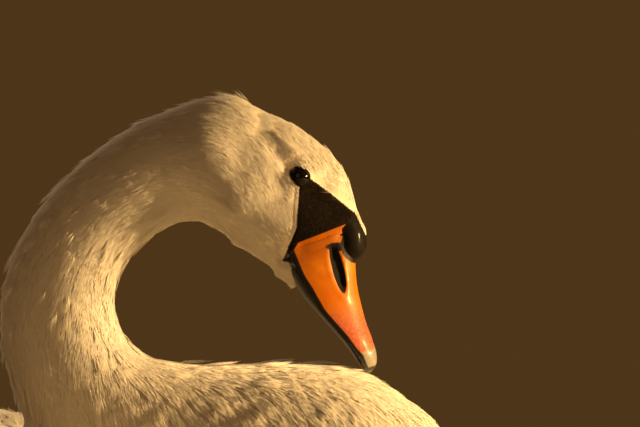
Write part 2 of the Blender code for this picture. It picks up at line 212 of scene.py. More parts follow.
class Finish:
    """One material, with its nodes added by name and its varying inputs fed by sums."""

    def __init__(self, name, roughness=0.5, **fixed):
        self.material = bpy.data.materials.new(name)
        self.material.use_nodes = True
        self.tree = self.material.node_tree
        self.shader = self.tree.nodes["Principled BSDF"]
        self.shader.inputs["Roughness"].default_value = roughness
        for socket, value in fixed.items():
            self.shader.inputs[socket.replace("_", " ")].default_value = value

    def node(self, kind, settings=None, inputs=(), output=0):
        made = self.tree.nodes.new(kind)
        for name, value in (settings or {}).items():
            setattr(made, name, value)
        pairs = inputs.items() if isinstance(inputs, dict) else enumerate(inputs)
        for key, value in pairs:
            if isinstance(value, Sum):
                self.tree.links.new(value.socket, made.inputs[key])
            else:
                made.inputs[key].default_value = value
        return Sum(self, made.outputs[output])

    def place(self):
        """The point in the bird's own frame, in metres."""
        return self.node("ShaderNodeTexCoord", output="Object")

    def axes(self, vector):
        """The three parts of a vector, as sums."""
        split = self.node("ShaderNodeSeparateXYZ", inputs=[vector]).socket.node
        return [Sum(self, split.outputs[k]) for k in range(3)]

    def attribute(self, name):
        return self.node("ShaderNodeAttribute", {"attribute_name": name}, output="Fac")

    def noise(self, vector, scale, detail=2.0):
        inputs = {"Vector": vector, "Scale": scale, "Detail": detail}
        return self.node("ShaderNodeTexNoise", inputs=inputs)

    def stretched(self, vector, scale):
        """The vector stretched along each axis, for a grain that runs one way."""
        inputs = {"Vector": vector, "Scale": scale}
        return self.node("ShaderNodeMapping", {"vector_type": "TEXTURE"}, inputs)

    def blend(self, share, first, second):
        """From the first colour to the second as the share goes from 0 to 1."""
        ends = [value if isinstance(value, Sum) else (*value, 1.0) for value in (first, second)]
        inputs = {0: share, 6: ends[0], 7: ends[1]}  # the sockets of a Mix node that are for colours
        return self.node("ShaderNodeMix", {"data_type": "RGBA"}, inputs, output=2)

    def feed(self, socket, value):
        self.tree.links.new(value.socket, self.shader.inputs[socket])

    def bump(self, height, strength, distance):
        """Small relief, in metres from the lowest to the highest."""
        inputs = {"Height": height, "Strength": strength, "Distance": distance}
        self.feed("Normal", self.node("ShaderNodeBump", inputs=inputs))


# %% [markdown]
# ## The bird's markings
# A mute swan is white all over but for the bare black skin that runs from the eye to the bill. That
# patch has three edges, seen from the side: the forehead's feathers above, the cheek's behind, and the
# bill below. The same three lines mark the skin, the coat and where feathers may grow, so they are kept
# once, as points and directions in the bird's upright middle plane.

# %% Edges of the bare black patch
LORE_EDGES = (
    # a point on the edge x, z; the direction that points into the patch x, z
    ((318.0, 449.4), (-0.58, -0.81)),
    ((325.5, 443.4), (-0.63, -0.78)),
    ((333.2, 436.5), (-0.90, -0.43)),
    ((296.0, 411.5), (0.25, 0.97)),
)
CHEEK_EDGES = (((302.8, 441.0), (1.0, -0.07)), ((298.4, 421.0), (0.92, -0.39)))
EYE_RIM = (7.0, 4.2)  # half length and half height of the black skin round the eye, in millimetres
EYE_RIM_SHIFT = (0.8, -1.2)  # its middle x, z from the eye's own, in millimetres
EYE_TILT = (0.72, -0.69)  # the way from the eye's rear corner to its front one
FACE_BACK, FACE_FOOT = 0.285, 0.395  # the markings lie in front of this x and over this z
BILL_AXIS = np.array((0.39, 0.0, -0.92))  # the way that the bill points


def edge_depths(edges, x, z):
    """How far past each edge a place is, on the side that its direction points to, in metres."""
    return [(x - edge_x * MM) * in_x + (z - edge_z * MM) * in_z for (edge_x, edge_z), (in_x, in_z) in edges]


def lore_depth(x, z, smallest, largest):
    """How far inside the bare patch a place is, in metres, and under 0 outside it."""
    inside = largest(*edge_depths(CHEEK_EDGES, x, z))
    for depth in edge_depths(LORE_EDGES, x, z):
        inside = smallest(inside, depth)
    return inside


def eye_depth(x, z, root):
    """How far inside the black oval round the eye a place is, in metres, and under 0 outside it."""
    away_x = x - (EYE_PLACE.x + EYE_RIM_SHIFT[0] * MM)
    away_z = z - (EYE_PLACE.z + EYE_RIM_SHIFT[1] * MM)
    length = (away_x * EYE_TILT[0] + away_z * EYE_TILT[1]) * (1 / EYE_RIM[0])
    height = (away_z * EYE_TILT[0] - away_x * EYE_TILT[1]) * (1 / EYE_RIM[1])
    return EYE_RIM[1] * MM - root(length * length + height * height) * EYE_RIM[1]


def lore_depths(points):
    """The same for an array of points, with the rim round the eye counted in."""
    patch = lore_depth(points[:, 0], points[:, 2], np.minimum, np.maximum)
    return np.maximum(patch, eye_depth(points[:, 0], points[:, 2], np.sqrt))


ORANGE_EDGE = (
    # a point on the line where the bill's orange starts x, z; the way away from the bill x, z
    ((327.0, 430.9), (-0.36, 0.93)),
    ((301.3, 418.7), (-0.85, 0.53)),
    ((301.0, 417.1), (-0.92, -0.39)),
)


def behind_orange(x, z, largest):
    """How far a place is behind the line where the orange starts, in metres, and under 0 on the bill."""
    first, second, third = edge_depths(ORANGE_EDGE, x, z)
    return largest(largest(first, second), third)


def on_face(points):
    """True for the points of the face, where the markings lie."""
    return (points[:, 0] > FACE_BACK) & (points[:, 2] > FACE_FOOT)


print("markings set round the eye at", [round(value, 4) for value in EYE_PLACE])

# %% Colours of the coat and the bare skin
DOWN = (0.76, 0.67, 0.53)
PALE_CREAM, WARM_CREAM = (0.90, 0.86, 0.77), (0.82, 0.73, 0.58)
SKIN_BLACK, SKIN_VELVET = (0.0055, 0.004, 0.003), (0.022, 0.013, 0.006)
# the orange painted on the skin under the bill's root is the bill's root orange with its painted shade
SHADED_BILL_ORANGE = (0.42, 0.105, 0.001)


def plumage_colour(finish, tone, reach):
    """Cream feathers with a warmer root, and black where the bare patch is."""
    place = finish.place()
    x, _, z = finish.axes(place)
    patch = lore_depth(x, z, Sum.lower, Sum.higher)
    patch = patch.higher(eye_depth(x, z, Sum.root))
    face_only = x.ramp(FACE_BACK, FACE_BACK + 0.005) * z.ramp(FACE_FOOT + 0.010, FACE_FOOT + 0.014)
    ragged = finish.noise(place, 900.0) * 0.0012 - 0.0006
    black = (patch + ragged).ramp(-0.0004, 0.0005) * face_only
    cloud = finish.noise(place, 22.0, 3.0)
    cream = finish.blend(cloud * 0.5 + tone * 0.5, PALE_CREAM, WARM_CREAM)
    feather = finish.blend(reach.ramp(0.0, 0.55), DOWN, cream)
    velvet = finish.noise(place, 700.0, 3.0).ramp(0.42, 0.72) * 0.55
    bare = finish.blend(velvet, SKIN_BLACK, SKIN_VELVET)
    past_edge = behind_orange(x, z, Sum.higher)
    # skin under the bill's root takes the bill's orange, darkened by painted shade; deeper than about 4 mm
    # it stays black, matching the nostril's painted shade where the skin shows through it
    on_bill = past_edge.ramp(0.0003, -0.0003) * past_edge.ramp(-0.0045, -0.0035)
    dark = finish.blend(on_bill, bare, SHADED_BILL_ORANGE)
    return finish.blend(black, feather, dark)


# %% [markdown]
# ## The skin
# Under its feathers a swan has one unbroken skin. The frame holds the flesh as separate solids whose
# surfaces are the tips of the coat. Here they are merged, with the eyes and the root of the bill left in
# to fill their sockets, and remeshed into one surface, which closes the thin cuts between them.



# %% Gather the flesh
WING_PARTS = [f"wing_{side}_{part}" for side in "LR" for part in ("arm", "tertials", "secondaries")]
FLESH = ["head", "neck_upper", "neck_middle", "neck_lower", "trunk", "tail"] + WING_PARTS
BILL_ROOT_END = (0.318, 0.0, 0.405)
WELD = 1e-6


def solids(names):
    """The named solids of the frame, in one bmesh."""
    bm = bmesh.new()
    for name in names:
        bm.from_mesh(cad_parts[name].data)
    return bm


def slice_through(bm, place, way, **clear):
    """Cuts a bmesh along the plane through the place, across the way."""
    everything = bm.verts[:] + bm.edges[:] + bm.faces[:]
    bmesh.ops.bisect_plane(bm, geom=everything, plane_co=place, plane_no=way, **clear)


def close_holes(bm):
    bmesh.ops.holes_fill(bm, edges=[edge for edge in bm.edges if edge.is_boundary])


bill_root = solids(["bill_upper", "bill_lower"])
bmesh.ops.remove_doubles(bill_root, verts=bill_root.verts, dist=WELD)
slice_through(bill_root, BILL_ROOT_END, BILL_AXIS, clear_outer=True)
close_holes(bill_root)
bm = solids(FLESH + ["eye_L", "eye_R"])
bm.from_mesh(mesh_of(bill_root, "bill_root"))
bmesh.ops.remove_doubles(bm, verts=bm.verts, dist=WELD)
flesh_mesh = mesh_of(bm, "flesh")

# %% Remesh it into one surface
SKIN_VOXEL = 4.6 * MM


def remeshed(mesh, voxel):
    """The mesh as one even surface, with faces about as large as the voxel."""
    holder = new_object("holder", mesh)
    remesh = holder.modifiers.new("remesh", "REMESH")
    remesh.mode = "VOXEL"
    remesh.voxel_size = voxel
    graph = bpy.context.evaluated_depsgraph_get()
    made = bpy.data.meshes.new_from_object(holder.evaluated_get(graph))
    bpy.data.objects.remove(holder)
    return made


def keep_largest(mesh):
    """Drops whatever isn't joined to the biggest surface, such as a bubble left in a cut."""
    bm = bmesh.new()
    bm.from_mesh(mesh)
    unseen = set(bm.verts)
    islands = []
    while unseen:
        island = [unseen.pop()]
        for vertex in island:
            for edge in vertex.link_edges:
                other = edge.other_vert(vertex)
                if other in unseen:
                    unseen.discard(other)
                    island.append(other)
        islands.append(island)
    islands.sort(key=len)
    for island in islands[:-1]:
        bmesh.ops.delete(bm, geom=island, context="VERTS")
    bm.to_mesh(mesh)
    bm.free()
    return len(islands)


skin_mesh = remeshed(flesh_mesh, SKIN_VOXEL)
islands = keep_largest(skin_mesh)
print("skin:", len(skin_mesh.vertices), "points,", islands, "islands before cleaning")


# %% [markdown]
# A few sums are needed over and over on such a surface: the mean of each point's neighbours smooths it,
# and the same neighbours let a value be spread evenly over it. `Net` holds a mesh as arrays for that.


# %% A mesh as arrays
def read_numbers(items, name, kind, width):
    values = np.empty(len(items) * width, kind)
    items.foreach_get(name, values)
    return values.reshape(-1, width) if width > 1 else values


def unit(vectors):
    return vectors / np.maximum(np.linalg.norm(vectors, axis=1, keepdims=True), 1e-9)


class Net:
    """The points of a mesh with their neighbours, faces and normals."""

    def __init__(self, mesh):
        self.mesh = mesh
        self.points = read_numbers(mesh.vertices, "co", np.float32, 3).astype(float)
        self.edges = read_numbers(mesh.edges, "vertices", np.int32, 2)
        self.triangles = read_numbers(mesh.loop_triangles, "vertices", np.int32, 3)
        self.size = len(self.points)
        self.degree = np.bincount(self.edges.ravel(), minlength=self.size).astype(float)
        self.renew_normals()

    def renew_normals(self):
        a, b, c = (self.points[self.triangles[:, k]] for k in range(3))
        cross = np.cross(b - a, c - a)
        self.face_area = np.linalg.norm(cross, axis=1) / 2
        self.face_normals = unit(cross)
        self.normals = unit(self.gathered(cross))

    def gathered(self, face_values):
        """Each point's sum of the values of its triangles."""
        total = np.zeros((self.size, face_values.shape[1]))
        for corner in range(3):
            for axis in range(face_values.shape[1]):
                total[:, axis] += np.bincount(
                    self.triangles[:, corner], face_values[:, axis], minlength=self.size
                )
        return total

    def neighbour_total(self, values):
        first, second = self.edges.T
        if values.ndim > 1:
            return np.stack([self.neighbour_total(column) for column in values.T], axis=1)
        total = np.bincount(first, values[second], minlength=self.size)
        return total + np.bincount(second, values[first], minlength=self.size)

    def mean(self, values):
        total = self.neighbour_total(values)
        return total / (self.degree if values.ndim == 1 else self.degree[:, None])

    def relax(self, rounds, share):
        """Moves the points towards the mean of their neighbours, by a share of the way each round."""
        for _ in range(rounds):
            self.points += np.reshape(share, (-1, 1)) * (self.mean(self.points) - self.points)

    def smooth(self, rounds, share=1.0):
        """Evens out bumps and gives back the size that smoothing takes away."""
        for _ in range(rounds):
            self.relax(1, share * 0.5)
            self.relax(1, share * -0.52)
        self.renew_normals()

    def push(self, distance):
        """Moves the points outwards, or inwards where the distance is under 0."""
        self.points += self.normals * np.reshape(distance, (-1, 1))

    def write(self):
        self.mesh.vertices.foreach_set("co", self.points.astype(np.float32).ravel())
        self.mesh.update()


# %% [markdown]
# The head is small and holds most of the fine form, so its part of the surface gets more faces before it
# is smoothed: once over the whole head, and once more over the face.


# %% More faces on the head
def refine_where(mesh, wanted):
    """Quarters the faces whose middle the test wants."""
    bm = bmesh.new()
    bm.from_mesh(mesh)
    faces = [face for face in bm.faces if wanted(face.calc_center_median())]
    edges = list({edge for face in faces for edge in face.edges})
    bmesh.ops.subdivide_edges(bm, edges=edges, cuts=1, use_grid_fill=True)
    bm.to_mesh(mesh)
    bm.free()


for back, foot in ((0.236, 0.382), (0.268, 0.386)):  # the whole head, and then the face
    refine_where(skin_mesh, lambda middle: middle.x > back and middle.z > foot)
net = Net(skin_mesh)
net.smooth(10)
print("skin:", net.size, "points,", len(net.triangles), "triangles")

# %% [markdown]
# The merged solids are round and plain, so the small forms of the head are pressed in or raised here:
# the groove that runs up and back from the eye, the brow over it, the full cheek, the crease where the
# cheek meets the throat and the hollow of the bare patch. Each form is a stroke in the bird's upright
# middle plane, and it moves both sides alike.

# %% Forms of the head
HEAD_FORMS = (
    # points x, z of the stroke in millimetres; its width and its push outwards in millimetres
    ("groove above the eye", ((283.0, 480.0), (290.0, 473.0), (295.0, 466.5), (298.5, 462.0)), 3.8, -1.8),
    ("fold behind the brow", ((291.0, 471.5), (298.5, 462.5)), 3.0, -1.6),
    ("brow", ((296.0, 476.0), (305.0, 469.0), (314.0, 461.0)), 5.0, 1.2),
    ("cheek", ((278.0, 443.0), (287.0, 431.0)), 12.0, 2.8),
    ("back of the cheek", ((257.0, 474.0), (260.0, 456.0), (269.0, 441.0)), 10.5, 4.8),
    ("crease under the cheek", ((243.0, 446.0), (262.0, 431.0), (284.0, 418.0)), 8.0, -3.4),
    ("hollow behind the eye", ((291.0, 456.0), (295.0, 447.0)), 3.6, -1.0),
    ("bare patch", ((310.0, 447.0), (321.0, 439.0)), 6.0, -1.6),
)


EYE_AND_BILL = ((303.2, 456.6), (325.0, 432.0), (300.0, 412.0))
CHIN_CORNER = ((286.0, 404.0), (292.0, 399.0))
CHIN = ((288.0, 402.0), (304.0, 393.0))
CHIN_END = 0.31


def stroke_distance(stops):
    """How far each point of the skin is from a stroke through the stops, seen from the side."""
    nearest = np.full(net.size, 1.0)
    for start, end in zip(stops, stops[1:]):
        start, end = np.array(start) * MM, np.array(end) * MM
        along = end - start
        flat = net.points[:, [0, 2]] - start
        share = np.clip(flat @ along / (along @ along), 0, 1)
        nearest = np.minimum(nearest, np.linalg.norm(flat - share[:, None] * along, axis=1))
    return nearest


def stroke(stops, width):
    """1 on a stroke through the stops, fading out over its width in millimetres."""
    return np.exp(-((stroke_distance(stops) / (width * MM)) ** 2))


x, y, z = net.points.T  # these follow the points as they move
under_bill = np.clip(-behind_orange(x, z, np.maximum) / MM / 2.5, 0, 1) * (x > 0.29) * (z > 0.398)
net.push(-1.6 * MM * under_bill * (np.abs(y) > 0.004))
on_side = np.clip(np.abs(y) / 0.012, 0, 1) ** 2 * (z > 0.38)
push_out = sum(stroke(stops, width) * push * MM for _, stops, width, push in HEAD_FORMS) * on_side
for _ in range(6):
    push_out = net.mean(push_out)
net.push(push_out)
calm = np.clip((stroke_distance(EYE_AND_BILL) / MM - 9) / 4, 0, 1) * (z > 0.40) * (x > 0.24)
net.relax(12, 0.5 * calm)
net.push(-2.4 * MM * stroke(CHIN_CORNER, 6.5) * (x < CHIN_END))
at_chin = stroke(CHIN, 7.0)
for _ in range(25):
    net.relax(1, 0.6 * at_chin * (x < CHIN_END))
net.renew_normals()
print("forms of the head:", len(HEAD_FORMS))

# %% [markdown]
# On a bird the plumage rounds off the folds where the neck meets the breast and the wing lies against
# the flank. So the folds of the body are filled: a point moves out to the mean of its neighbours, but
# never in, and the round forms between the folds keep their size.

# %% Folds of the body
BACK_HEIGHT, RUMP = 0.335, -0.33  # folds are filled under this z and in front of this x
NECK_BASE = ((215.0, 304.0), (385.0, 280.0))

low_down = np.clip((BACK_HEIGHT - z) / 0.02, 0, 1) * np.clip((x - RUMP) / 0.03, 0, 1)
for turn in range(60):
    pull = net.mean(net.points) - net.points
    outwards = np.maximum((pull * net.normals).sum(axis=1), 0)
    net.push(low_down * outwards)
    if turn % 4 == 3:
        net.renew_normals()
net.relax(60, 0.6 * stroke(NECK_BASE, 24.0) * (x > 0.15) * (np.abs(y) < 0.115))
net.renew_normals()
net.write()
print("folds filled, skin now spans", np.ptp(net.points, axis=0).round(3))

# %% [markdown]
# ## The lie of the coat
# Feathers point away from the bill, and run smoothly to the tail's tip over every part of the bird. A
# field that is 0 at the bill, 1 at the tail and even in between has just that course: at each point its
# steepest way is the way that the plumage lies. It parts round the neck's root and meets again under
# the tail with no seam. It is found by conjugate gradients, as no point may differ from the mean of its
# neighbours.

# %% Spread a field from the bill to the tail
FACE_CENTRE = np.array((0.321, 0.0, 0.420))


def even_field(net, start, end, rounds=2500, tolerance=1e-13):
    """Values from 0 at the start points to 1 at the end points, each the mean of its neighbours."""
    field = np.where(end, 1.0, 0.0)
    free = ~(start | end)

    def strain(values):
        return np.where(free, net.degree * values - net.neighbour_total(values), 0.0)

    left_over = -strain(field)
    course = left_over.copy()
    power = left_over @ left_over
    for turn in range(rounds):
        image = strain(course)
        step = power / (course @ image)
        field += step * course
        left_over -= step * image
        fresh = left_over @ left_over
        if fresh < tolerance:
            break
        course = left_over + fresh / power * course
        power = fresh
    print("field found in", turn + 1, "rounds")
    return field


from_face = net.points - FACE_CENTRE
at_bill = (from_face @ BILL_AXIS > -0.001) & (np.linalg.norm(from_face, axis=1) < 0.045)
at_tail = net.points[:, 0] < net.points[:, 0].min() + 0.010
field = even_field(net, at_bill, at_tail)


# %% Its steepest way at each point
def along_surface(ways, normals):
    """Unit ways like the given ones, but without their part along the normals."""
    return unit(ways - (ways * normals).sum(1)[:, None] * normals)


def course_of(net, field, rounds=6):
    """The direction in which the field grows fastest, along the surface."""
    a, b, c = (net.triangles[:, k] for k in range(3))
    edge_sum = field[a][:, None] * (net.points[c] - net.points[b])
    edge_sum += field[b][:, None] * (net.points[a] - net.points[c])
    edge_sum += field[c][:, None] * (net.points[b] - net.points[a])
    slope = np.cross(net.face_normals, edge_sum) / (2 * net.face_area[:, None] + 1e-12)
    course = unit(net.gathered(unit(slope) * net.face_area[:, None]))
    for _ in range(rounds):
        course = along_surface(course + net.mean(course), net.normals)
    return course


lie = course_of(net, field)

# %% [markdown]
# The same field cuts the bird into rings from bill to tail. The middles of these rings make a centre
# line, so each point has a distance along the bird and an angle round it. The distance sets how large a
# feather is, and the two together are an unwrap of the skin, like a label that is peeled off a tube.

# %% Distance along the bird and angle round it
RINGS = 260
order = np.argsort(field)
rank = np.empty(net.size)
rank[order] = np.arange(net.size) / net.size
ring_of_point = np.minimum((RINGS * (rank + field) / 2).astype(int), RINGS - 1)
used = np.unique(ring_of_point)
ring_count = np.bincount(ring_of_point, minlength=RINGS)[used]


def ring_mean(values):
    """The mean of a value over the points of each ring."""
    return np.bincount(ring_of_point, values, minlength=RINGS)[used] / ring_count


ring_field = ring_mean(field)
ring_middle = np.stack([ring_mean(axis) for axis in net.points.T], 1)
ring_middle[:, 1] = 0.0
for _ in range(12):
    ring_middle[1:-1] = (ring_middle[:-2] + 2 * ring_middle[1:-1] + ring_middle[2:]) / 4
ring_step = np.diff(ring_middle, axis=0)
ring_along = np.concatenate([[0.0], np.cumsum(np.linalg.norm(ring_step, axis=1))])
ring_course = unit(np.gradient(ring_middle, axis=0))
along = np.interp(field, ring_field, ring_along)


def at_ring(values):
    """A value of the rings, read at every point of the skin."""
    return np.stack([np.interp(field, ring_field, axis) for axis in values.T], 1)


upright = np.cross(at_ring(ring_course), (0.0, 1.0, 0.0))
from_middle = net.points - at_ring(ring_middle)
angle = np.arctan2(from_middle[:, 1], (from_middle * unit(upright)).sum(1)) / (2 * math.pi) + 0.5
print("length of the centre line in metres:", round(float(ring_along[-1]), 3))

# %% [markdown]
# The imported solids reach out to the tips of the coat, so the skin now sinks in by the depth of the coat:
# little on the face, more down the neck and most on the body. The bare patch has no feathers and stays
# where it is.

# %% Sink the skin under the coat
COAT_ALONG = (0.00, 0.05, 0.10, 0.18, 0.30, 0.42, 0.52)
COAT_DEPTH = (1.0, 1.2, 1.8, 2.6, 3.2, 3.6, 3.6)  # millimetres at these distances along the bird

coat_depth = np.interp(along, COAT_ALONG, COAT_DEPTH) * MM
coat_depth *= np.clip((net.points[:, 0] - cad_box[0].x) / 0.10, 0.25, 1)
bare = np.where(on_face(net.points), np.clip(0.5 + lore_depths(net.points) / (2 * MM), 0, 1), 0.0)
coat_depth *= 1 - 0.85 * bare
net.push(-coat_depth)
net.smooth(3, 1 - 0.7 * np.clip((net.points[:, 0] - 0.26) / 0.02, 0, 1))
net.write()
on_head = np.clip((0.115 - along) / 0.07, 0, 1)
lie = along_surface(lie - BILL_AXIS * (1.3 * on_head)[:, None], net.normals)

# %% [markdown]
# ## Sowing feathers
# Real feathers grow at even distances. Here many places are thrown over the skin at random, and one is
# kept in each cell of an even grid, which gives the same evenness at little cost. Each root knows its
# place, which way is out and which way the coat lies there.


# %% Roots on the skin
class Roots:
    """Places where feathers grow, with their directions and their place on the unwrap of the skin."""

    STARTS = (3, 6, 9, 10)  # columns where the ways out, the lies, the distances and the unwrap start

    def __init__(self, table):
        self.table = table
        self.points, self.normals, self.lies, along, self.unwrap = np.split(table, self.STARTS, axis=1)
        self.x, self.y, self.z = self.points.T
        self.along = along[:, 0]
        self.count = len(table)

    def only(self, wanted):
        return Roots(self.table[wanted])

    def sides(self):
        return np.cross(self.normals, self.lies)

    def even_out(self):
        """Makes the directions 1 long again, once they are mixed from several."""
        self.normals[:] = unit(self.normals)
        self.lies[:] = unit(self.lies)
        return self


SKIN_TABLE = np.column_stack([net.points, net.normals, lie, along, rank, angle])
THROWS_PER_CELL = 2.6
CELLS_ACROSS = 4001  # more than there are along any side of the bird


def cell_numbers(places):
    """A number for each place, the same for all the places in one cell of a grid of side 1."""
    cells = np.floor(places).astype(np.int64)
    return (cells[:, 0] * CELLS_ACROSS + cells[:, 1]) * CELLS_ACROSS + cells[:, 2]


def sow(spacing, wanted):
    """One root to each cell of an even grid, over the part of the skin that the test wants."""
    corners = SKIN_TABLE[net.triangles]
    middles = corners.mean(axis=1)
    weights = net.face_area * wanted(Roots(middles))
    number = int(weights.sum() / spacing**2 * THROWS_PER_CELL)
    chosen = chance.choice(len(weights), number, p=weights / weights.sum())
    shares = chance.dirichlet((1, 1, 1), number)
    table = (corners[chosen] * shares[:, :, None]).sum(axis=1)
    torn = np.ptp(corners[chosen, :, -1], axis=1) > 0.5  # triangles over the seam of the unwrap
    table[torn, -1] = corners[chosen[torn], 0, -1]
    _, kept = np.unique(cell_numbers(table[:, :3] / spacing), return_index=True)
    roots = Roots(table[np.sort(kept)])
    return roots.only(wanted(roots) > 0.5).even_out()


# %% [markdown]
# On the head and neck the feathers are so fine that they read as hair. Each is one thin barb with three
# sides, pointed at both ends, which lies along the body and lifts a little. It is made once from a cone
# whose base is poked out to a second point. Copies of it are then set on all the roots and joined into
# one mesh, because many thousands of objects would be slow. Neighbours lean together into small locks.


# %% One barb
def slants_in(edge):
    """True for an edge that climbs from a blade's rim to its middle line."""
    low, high = sorted(edge.verts, key=lambda vertex: vertex.co.z)
    climbs = high.co.z - low.co.z > 1e-4 and high.co.z < 0.9999
    return climbs and abs(low.co.x) > 1e-4 > abs(high.co.x)


def template_arrays(bm):
    """A small mesh as points and triangles, ready to be repeated. All its sides are cut along the same
    diagonals, so that the underside never comes through the upper side when the blade is bent."""
    bmesh.ops.recalc_face_normals(bm, faces=bm.faces)
    bmesh.ops.triangulate(bm, faces=bm.faces)
    bmesh.ops.rotate_edges(bm, edges=[edge for edge in bm.edges if slants_in(edge)])
    bm.verts.index_update()
    points = np.array([vertex.co[:] for vertex in bm.verts])
    faces = np.array([[vertex.index for vertex in face.verts] for face in bm.faces])
    bm.free()
    return points, faces


def make_blade(sides, widths):
    """A closed blade from z 0 to 1, pointed at both ends. Widths are {height: width}, lowest first."""
    heights = list(widths)
    bm = bmesh.new()
    bmesh.ops.create_cone(
        bm, cap_ends=True, segments=sides, radius1=0.5, radius2=0.0, depth=1 - heights[0]
    )
    bmesh.ops.translate(bm, vec=(0, 0, (1 + heights[0]) / 2), verts=bm.verts)
    base = [face for face in bm.faces if face.normal.z < -0.9]
    bmesh.ops.poke(bm, faces=base)["verts"][0].co.z = 0.0
    for height in heights[1:]:
        slice_through(bm, (0, 0, height), (0, 0, 1))
    for vertex in bm.verts:
        radius = math.hypot(vertex.co.x, vertex.co.y)
        if radius > 1e-5:
            width = widths[min(heights, key=lambda height: abs(height - vertex.co.z))]
            vertex.co.x *= 0.5 * width / radius
            vertex.co.y *= 0.5 * width / radius
    return template_arrays(bm)


BARB = make_blade(3, {0.3: 1.0})
print("triangles in one barb:", len(BARB[1]))


# %% A joined coat piece
def joined_mesh(name, points, faces, unwrap, values):
    """One mesh from copies of a template: points has a row for each copy, and so has each value."""
    copies, corners = points.shape[:2]
    offsets = (np.arange(copies) * corners)[:, None, None]
    loops = (faces[None] + offsets).reshape(-1).astype(np.int32)
    mesh = bpy.data.meshes.new(name)
    mesh.vertices.add(copies * corners)
    mesh.vertices.foreach_set("co", points.reshape(-1).astype(np.float32))
    mesh.loops.add(len(loops))
    mesh.loops.foreach_set("vertex_index", loops)
    mesh.polygons.add(len(loops) // 3)
    mesh.polygons.foreach_set("loop_start", np.arange(0, len(loops), 3, dtype=np.int32))
    bake_map = mesh.uv_layers.new(name="OFBake", do_init=False)
    bake_map.data.foreach_set("uv", unwrap.reshape(-1, 2)[loops].astype(np.float32).ravel())
    for title, value in values.items():
        layer = mesh.attributes.new(title, "FLOAT", "POINT")
        layer.data.foreach_set("value", np.broadcast_to(value, (copies, corners)).astype(np.float32).ravel())
    mesh.update(calc_edges=True)
    mesh.shade_smooth()
    return mesh


def soften(mesh, outward, share):
    """Turns the shading of the upper sides towards the given ways out, so a coat shades as one form.
    The undersides keep their own shading, or the light would seem to come through them."""
    faces = read_numbers(mesh.polygons, "normal", np.float32, 3)
    own = read_numbers(mesh.vertex_normals, "vector", np.float32, 3)
    corners = read_numbers(mesh.loops, "vertex_index", np.int32, 1).ravel()
    outward = np.broadcast_to(outward, (len(outward), len(own) // len(outward), 3)).reshape(-1, 3)[corners]
    facing = (np.repeat(faces, 3, axis=0) * outward).sum(axis=1, keepdims=True)
    share = share * np.clip((facing - 0.05) / 0.45, 0, 1)
    mesh.normals_split_custom_set(unit(own[corners] * (1 - share) + outward * share))


PATCH = 0.003  # size of one feather's patch on the unwrap
UNWRAP_LOW, UNWRAP_HIGH = SKIN_TABLE[:, -2:].min(axis=0), SKIN_TABLE[:, -2:].max(axis=0)


def patches(roots, across, forward):
    """Each copy's patch on the unwrap, at its root's place. Both arrays run from 0 to 1."""
    middle = 0.004 + 0.992 * (roots.unwrap - UNWRAP_LOW) / (UNWRAP_HIGH - UNWRAP_LOW)
    spread = np.stack(np.broadcast_arrays(across - 0.5, forward - 0.5), axis=-1) * PATCH
    return middle[:, None, :] + spread


def show(name, mesh, finish, replaces=()):
    """A finished piece, which rides on the bird's one body."""
    piece = new_object(name, mesh)
    mesh.materials.clear()
    mesh.materials.append(finish.material)
    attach(piece, "root")
    if replaces:
        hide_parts(*replaces)
    return piece


LOCK_PULL = 0.5  # how much of the way to its lock's middle a barb's tip leans
ROOT_SUNK = 0.1 * MM


def locks(roots, size):
    """Which lock each root belongs to, and how far aside the middle of its lock is."""
    cells = cell_numbers(roots.points / np.reshape(size, (-1, 1)) + chance.random(3))
    _, lock = np.unique(cells, return_inverse=True)
    members = np.bincount(lock)
    middle = np.stack([np.bincount(lock, axis) / members for axis in roots.points.T], 1)
    aside = ((middle[lock] - roots.points) * roots.sides()).sum(1)
    return lock, aside


def comb(name, roots, length, width, lift, lock_size, stray=0.10, base=0.0):
    """Sets a barb on each root. Sizes are in metres, one for each root or one for all."""
    points, faces = BARB
    lock, aside = locks(roots, lock_size)
    lock_mood = chance.random(lock.max() + 1)[lock]
    mood = chance.random(roots.count)
    standing = np.clip((lock_mood - 0.90) / 0.10, 0, 1)
    length = length * (0.75 + 0.3 * lock_mood + 0.3 * mood) * (1 + 0.25 * standing)
    lift = lift * (0.35 + 0.5 * lock_mood + 0.4 * mood) * (1 + 1.3 * standing)
    turn = chance.normal(0, stray, roots.count)
    along, across, up = points[:, 2], points[:, 0], points[:, 1]
    width = np.broadcast_to(width, roots.count)
    forward = length[:, None] * along
    sideways = np.multiply.outer(width, across)
    sideways = sideways + (LOCK_PULL * aside + turn * length)[:, None] * along**1.5
    risen = lift[:, None] * (1 - (1 - along) ** 2) + np.reshape(base, (-1, 1)) - ROOT_SUNK
    risen = risen + np.multiply.outer(width * 0.5, up)
    placed = roots.points[:, None] + roots.lies[:, None] * forward[..., None]
    placed = placed + roots.sides()[:, None] * sideways[..., None]
    placed = placed + roots.normals[:, None] * risen[..., None]
    values = {"tone": (0.6 * lock_mood + 0.4 * mood)[:, None], "reach": along}
    mesh = joined_mesh(name, placed, faces, patches(roots, across + 0.5, along), values)
    soften(mesh, roots.normals[:, None], 0.8)
    print(name, roots.count, "barbs,", len(mesh.polygons), "triangles")
    show(name, mesh, coat_finish)


# %% Finishes of skin and coat
SOFTNESS = {
    "Subsurface_Weight": 0.5,
    "Subsurface_Scale": 0.004,
    "Subsurface_Radius": (1.0, 0.75, 0.5),
    "Sheen_Weight": 0.2,
    "Sheen_Roughness": 0.4,
}
coat_finish = Finish("coat", roughness=0.55, **SOFTNESS)
coat_tone, coat_reach = coat_finish.attribute("tone"), coat_finish.attribute("reach")
coat_finish.feed("Base Color", plumage_colour(coat_finish, coat_tone, coat_reach))

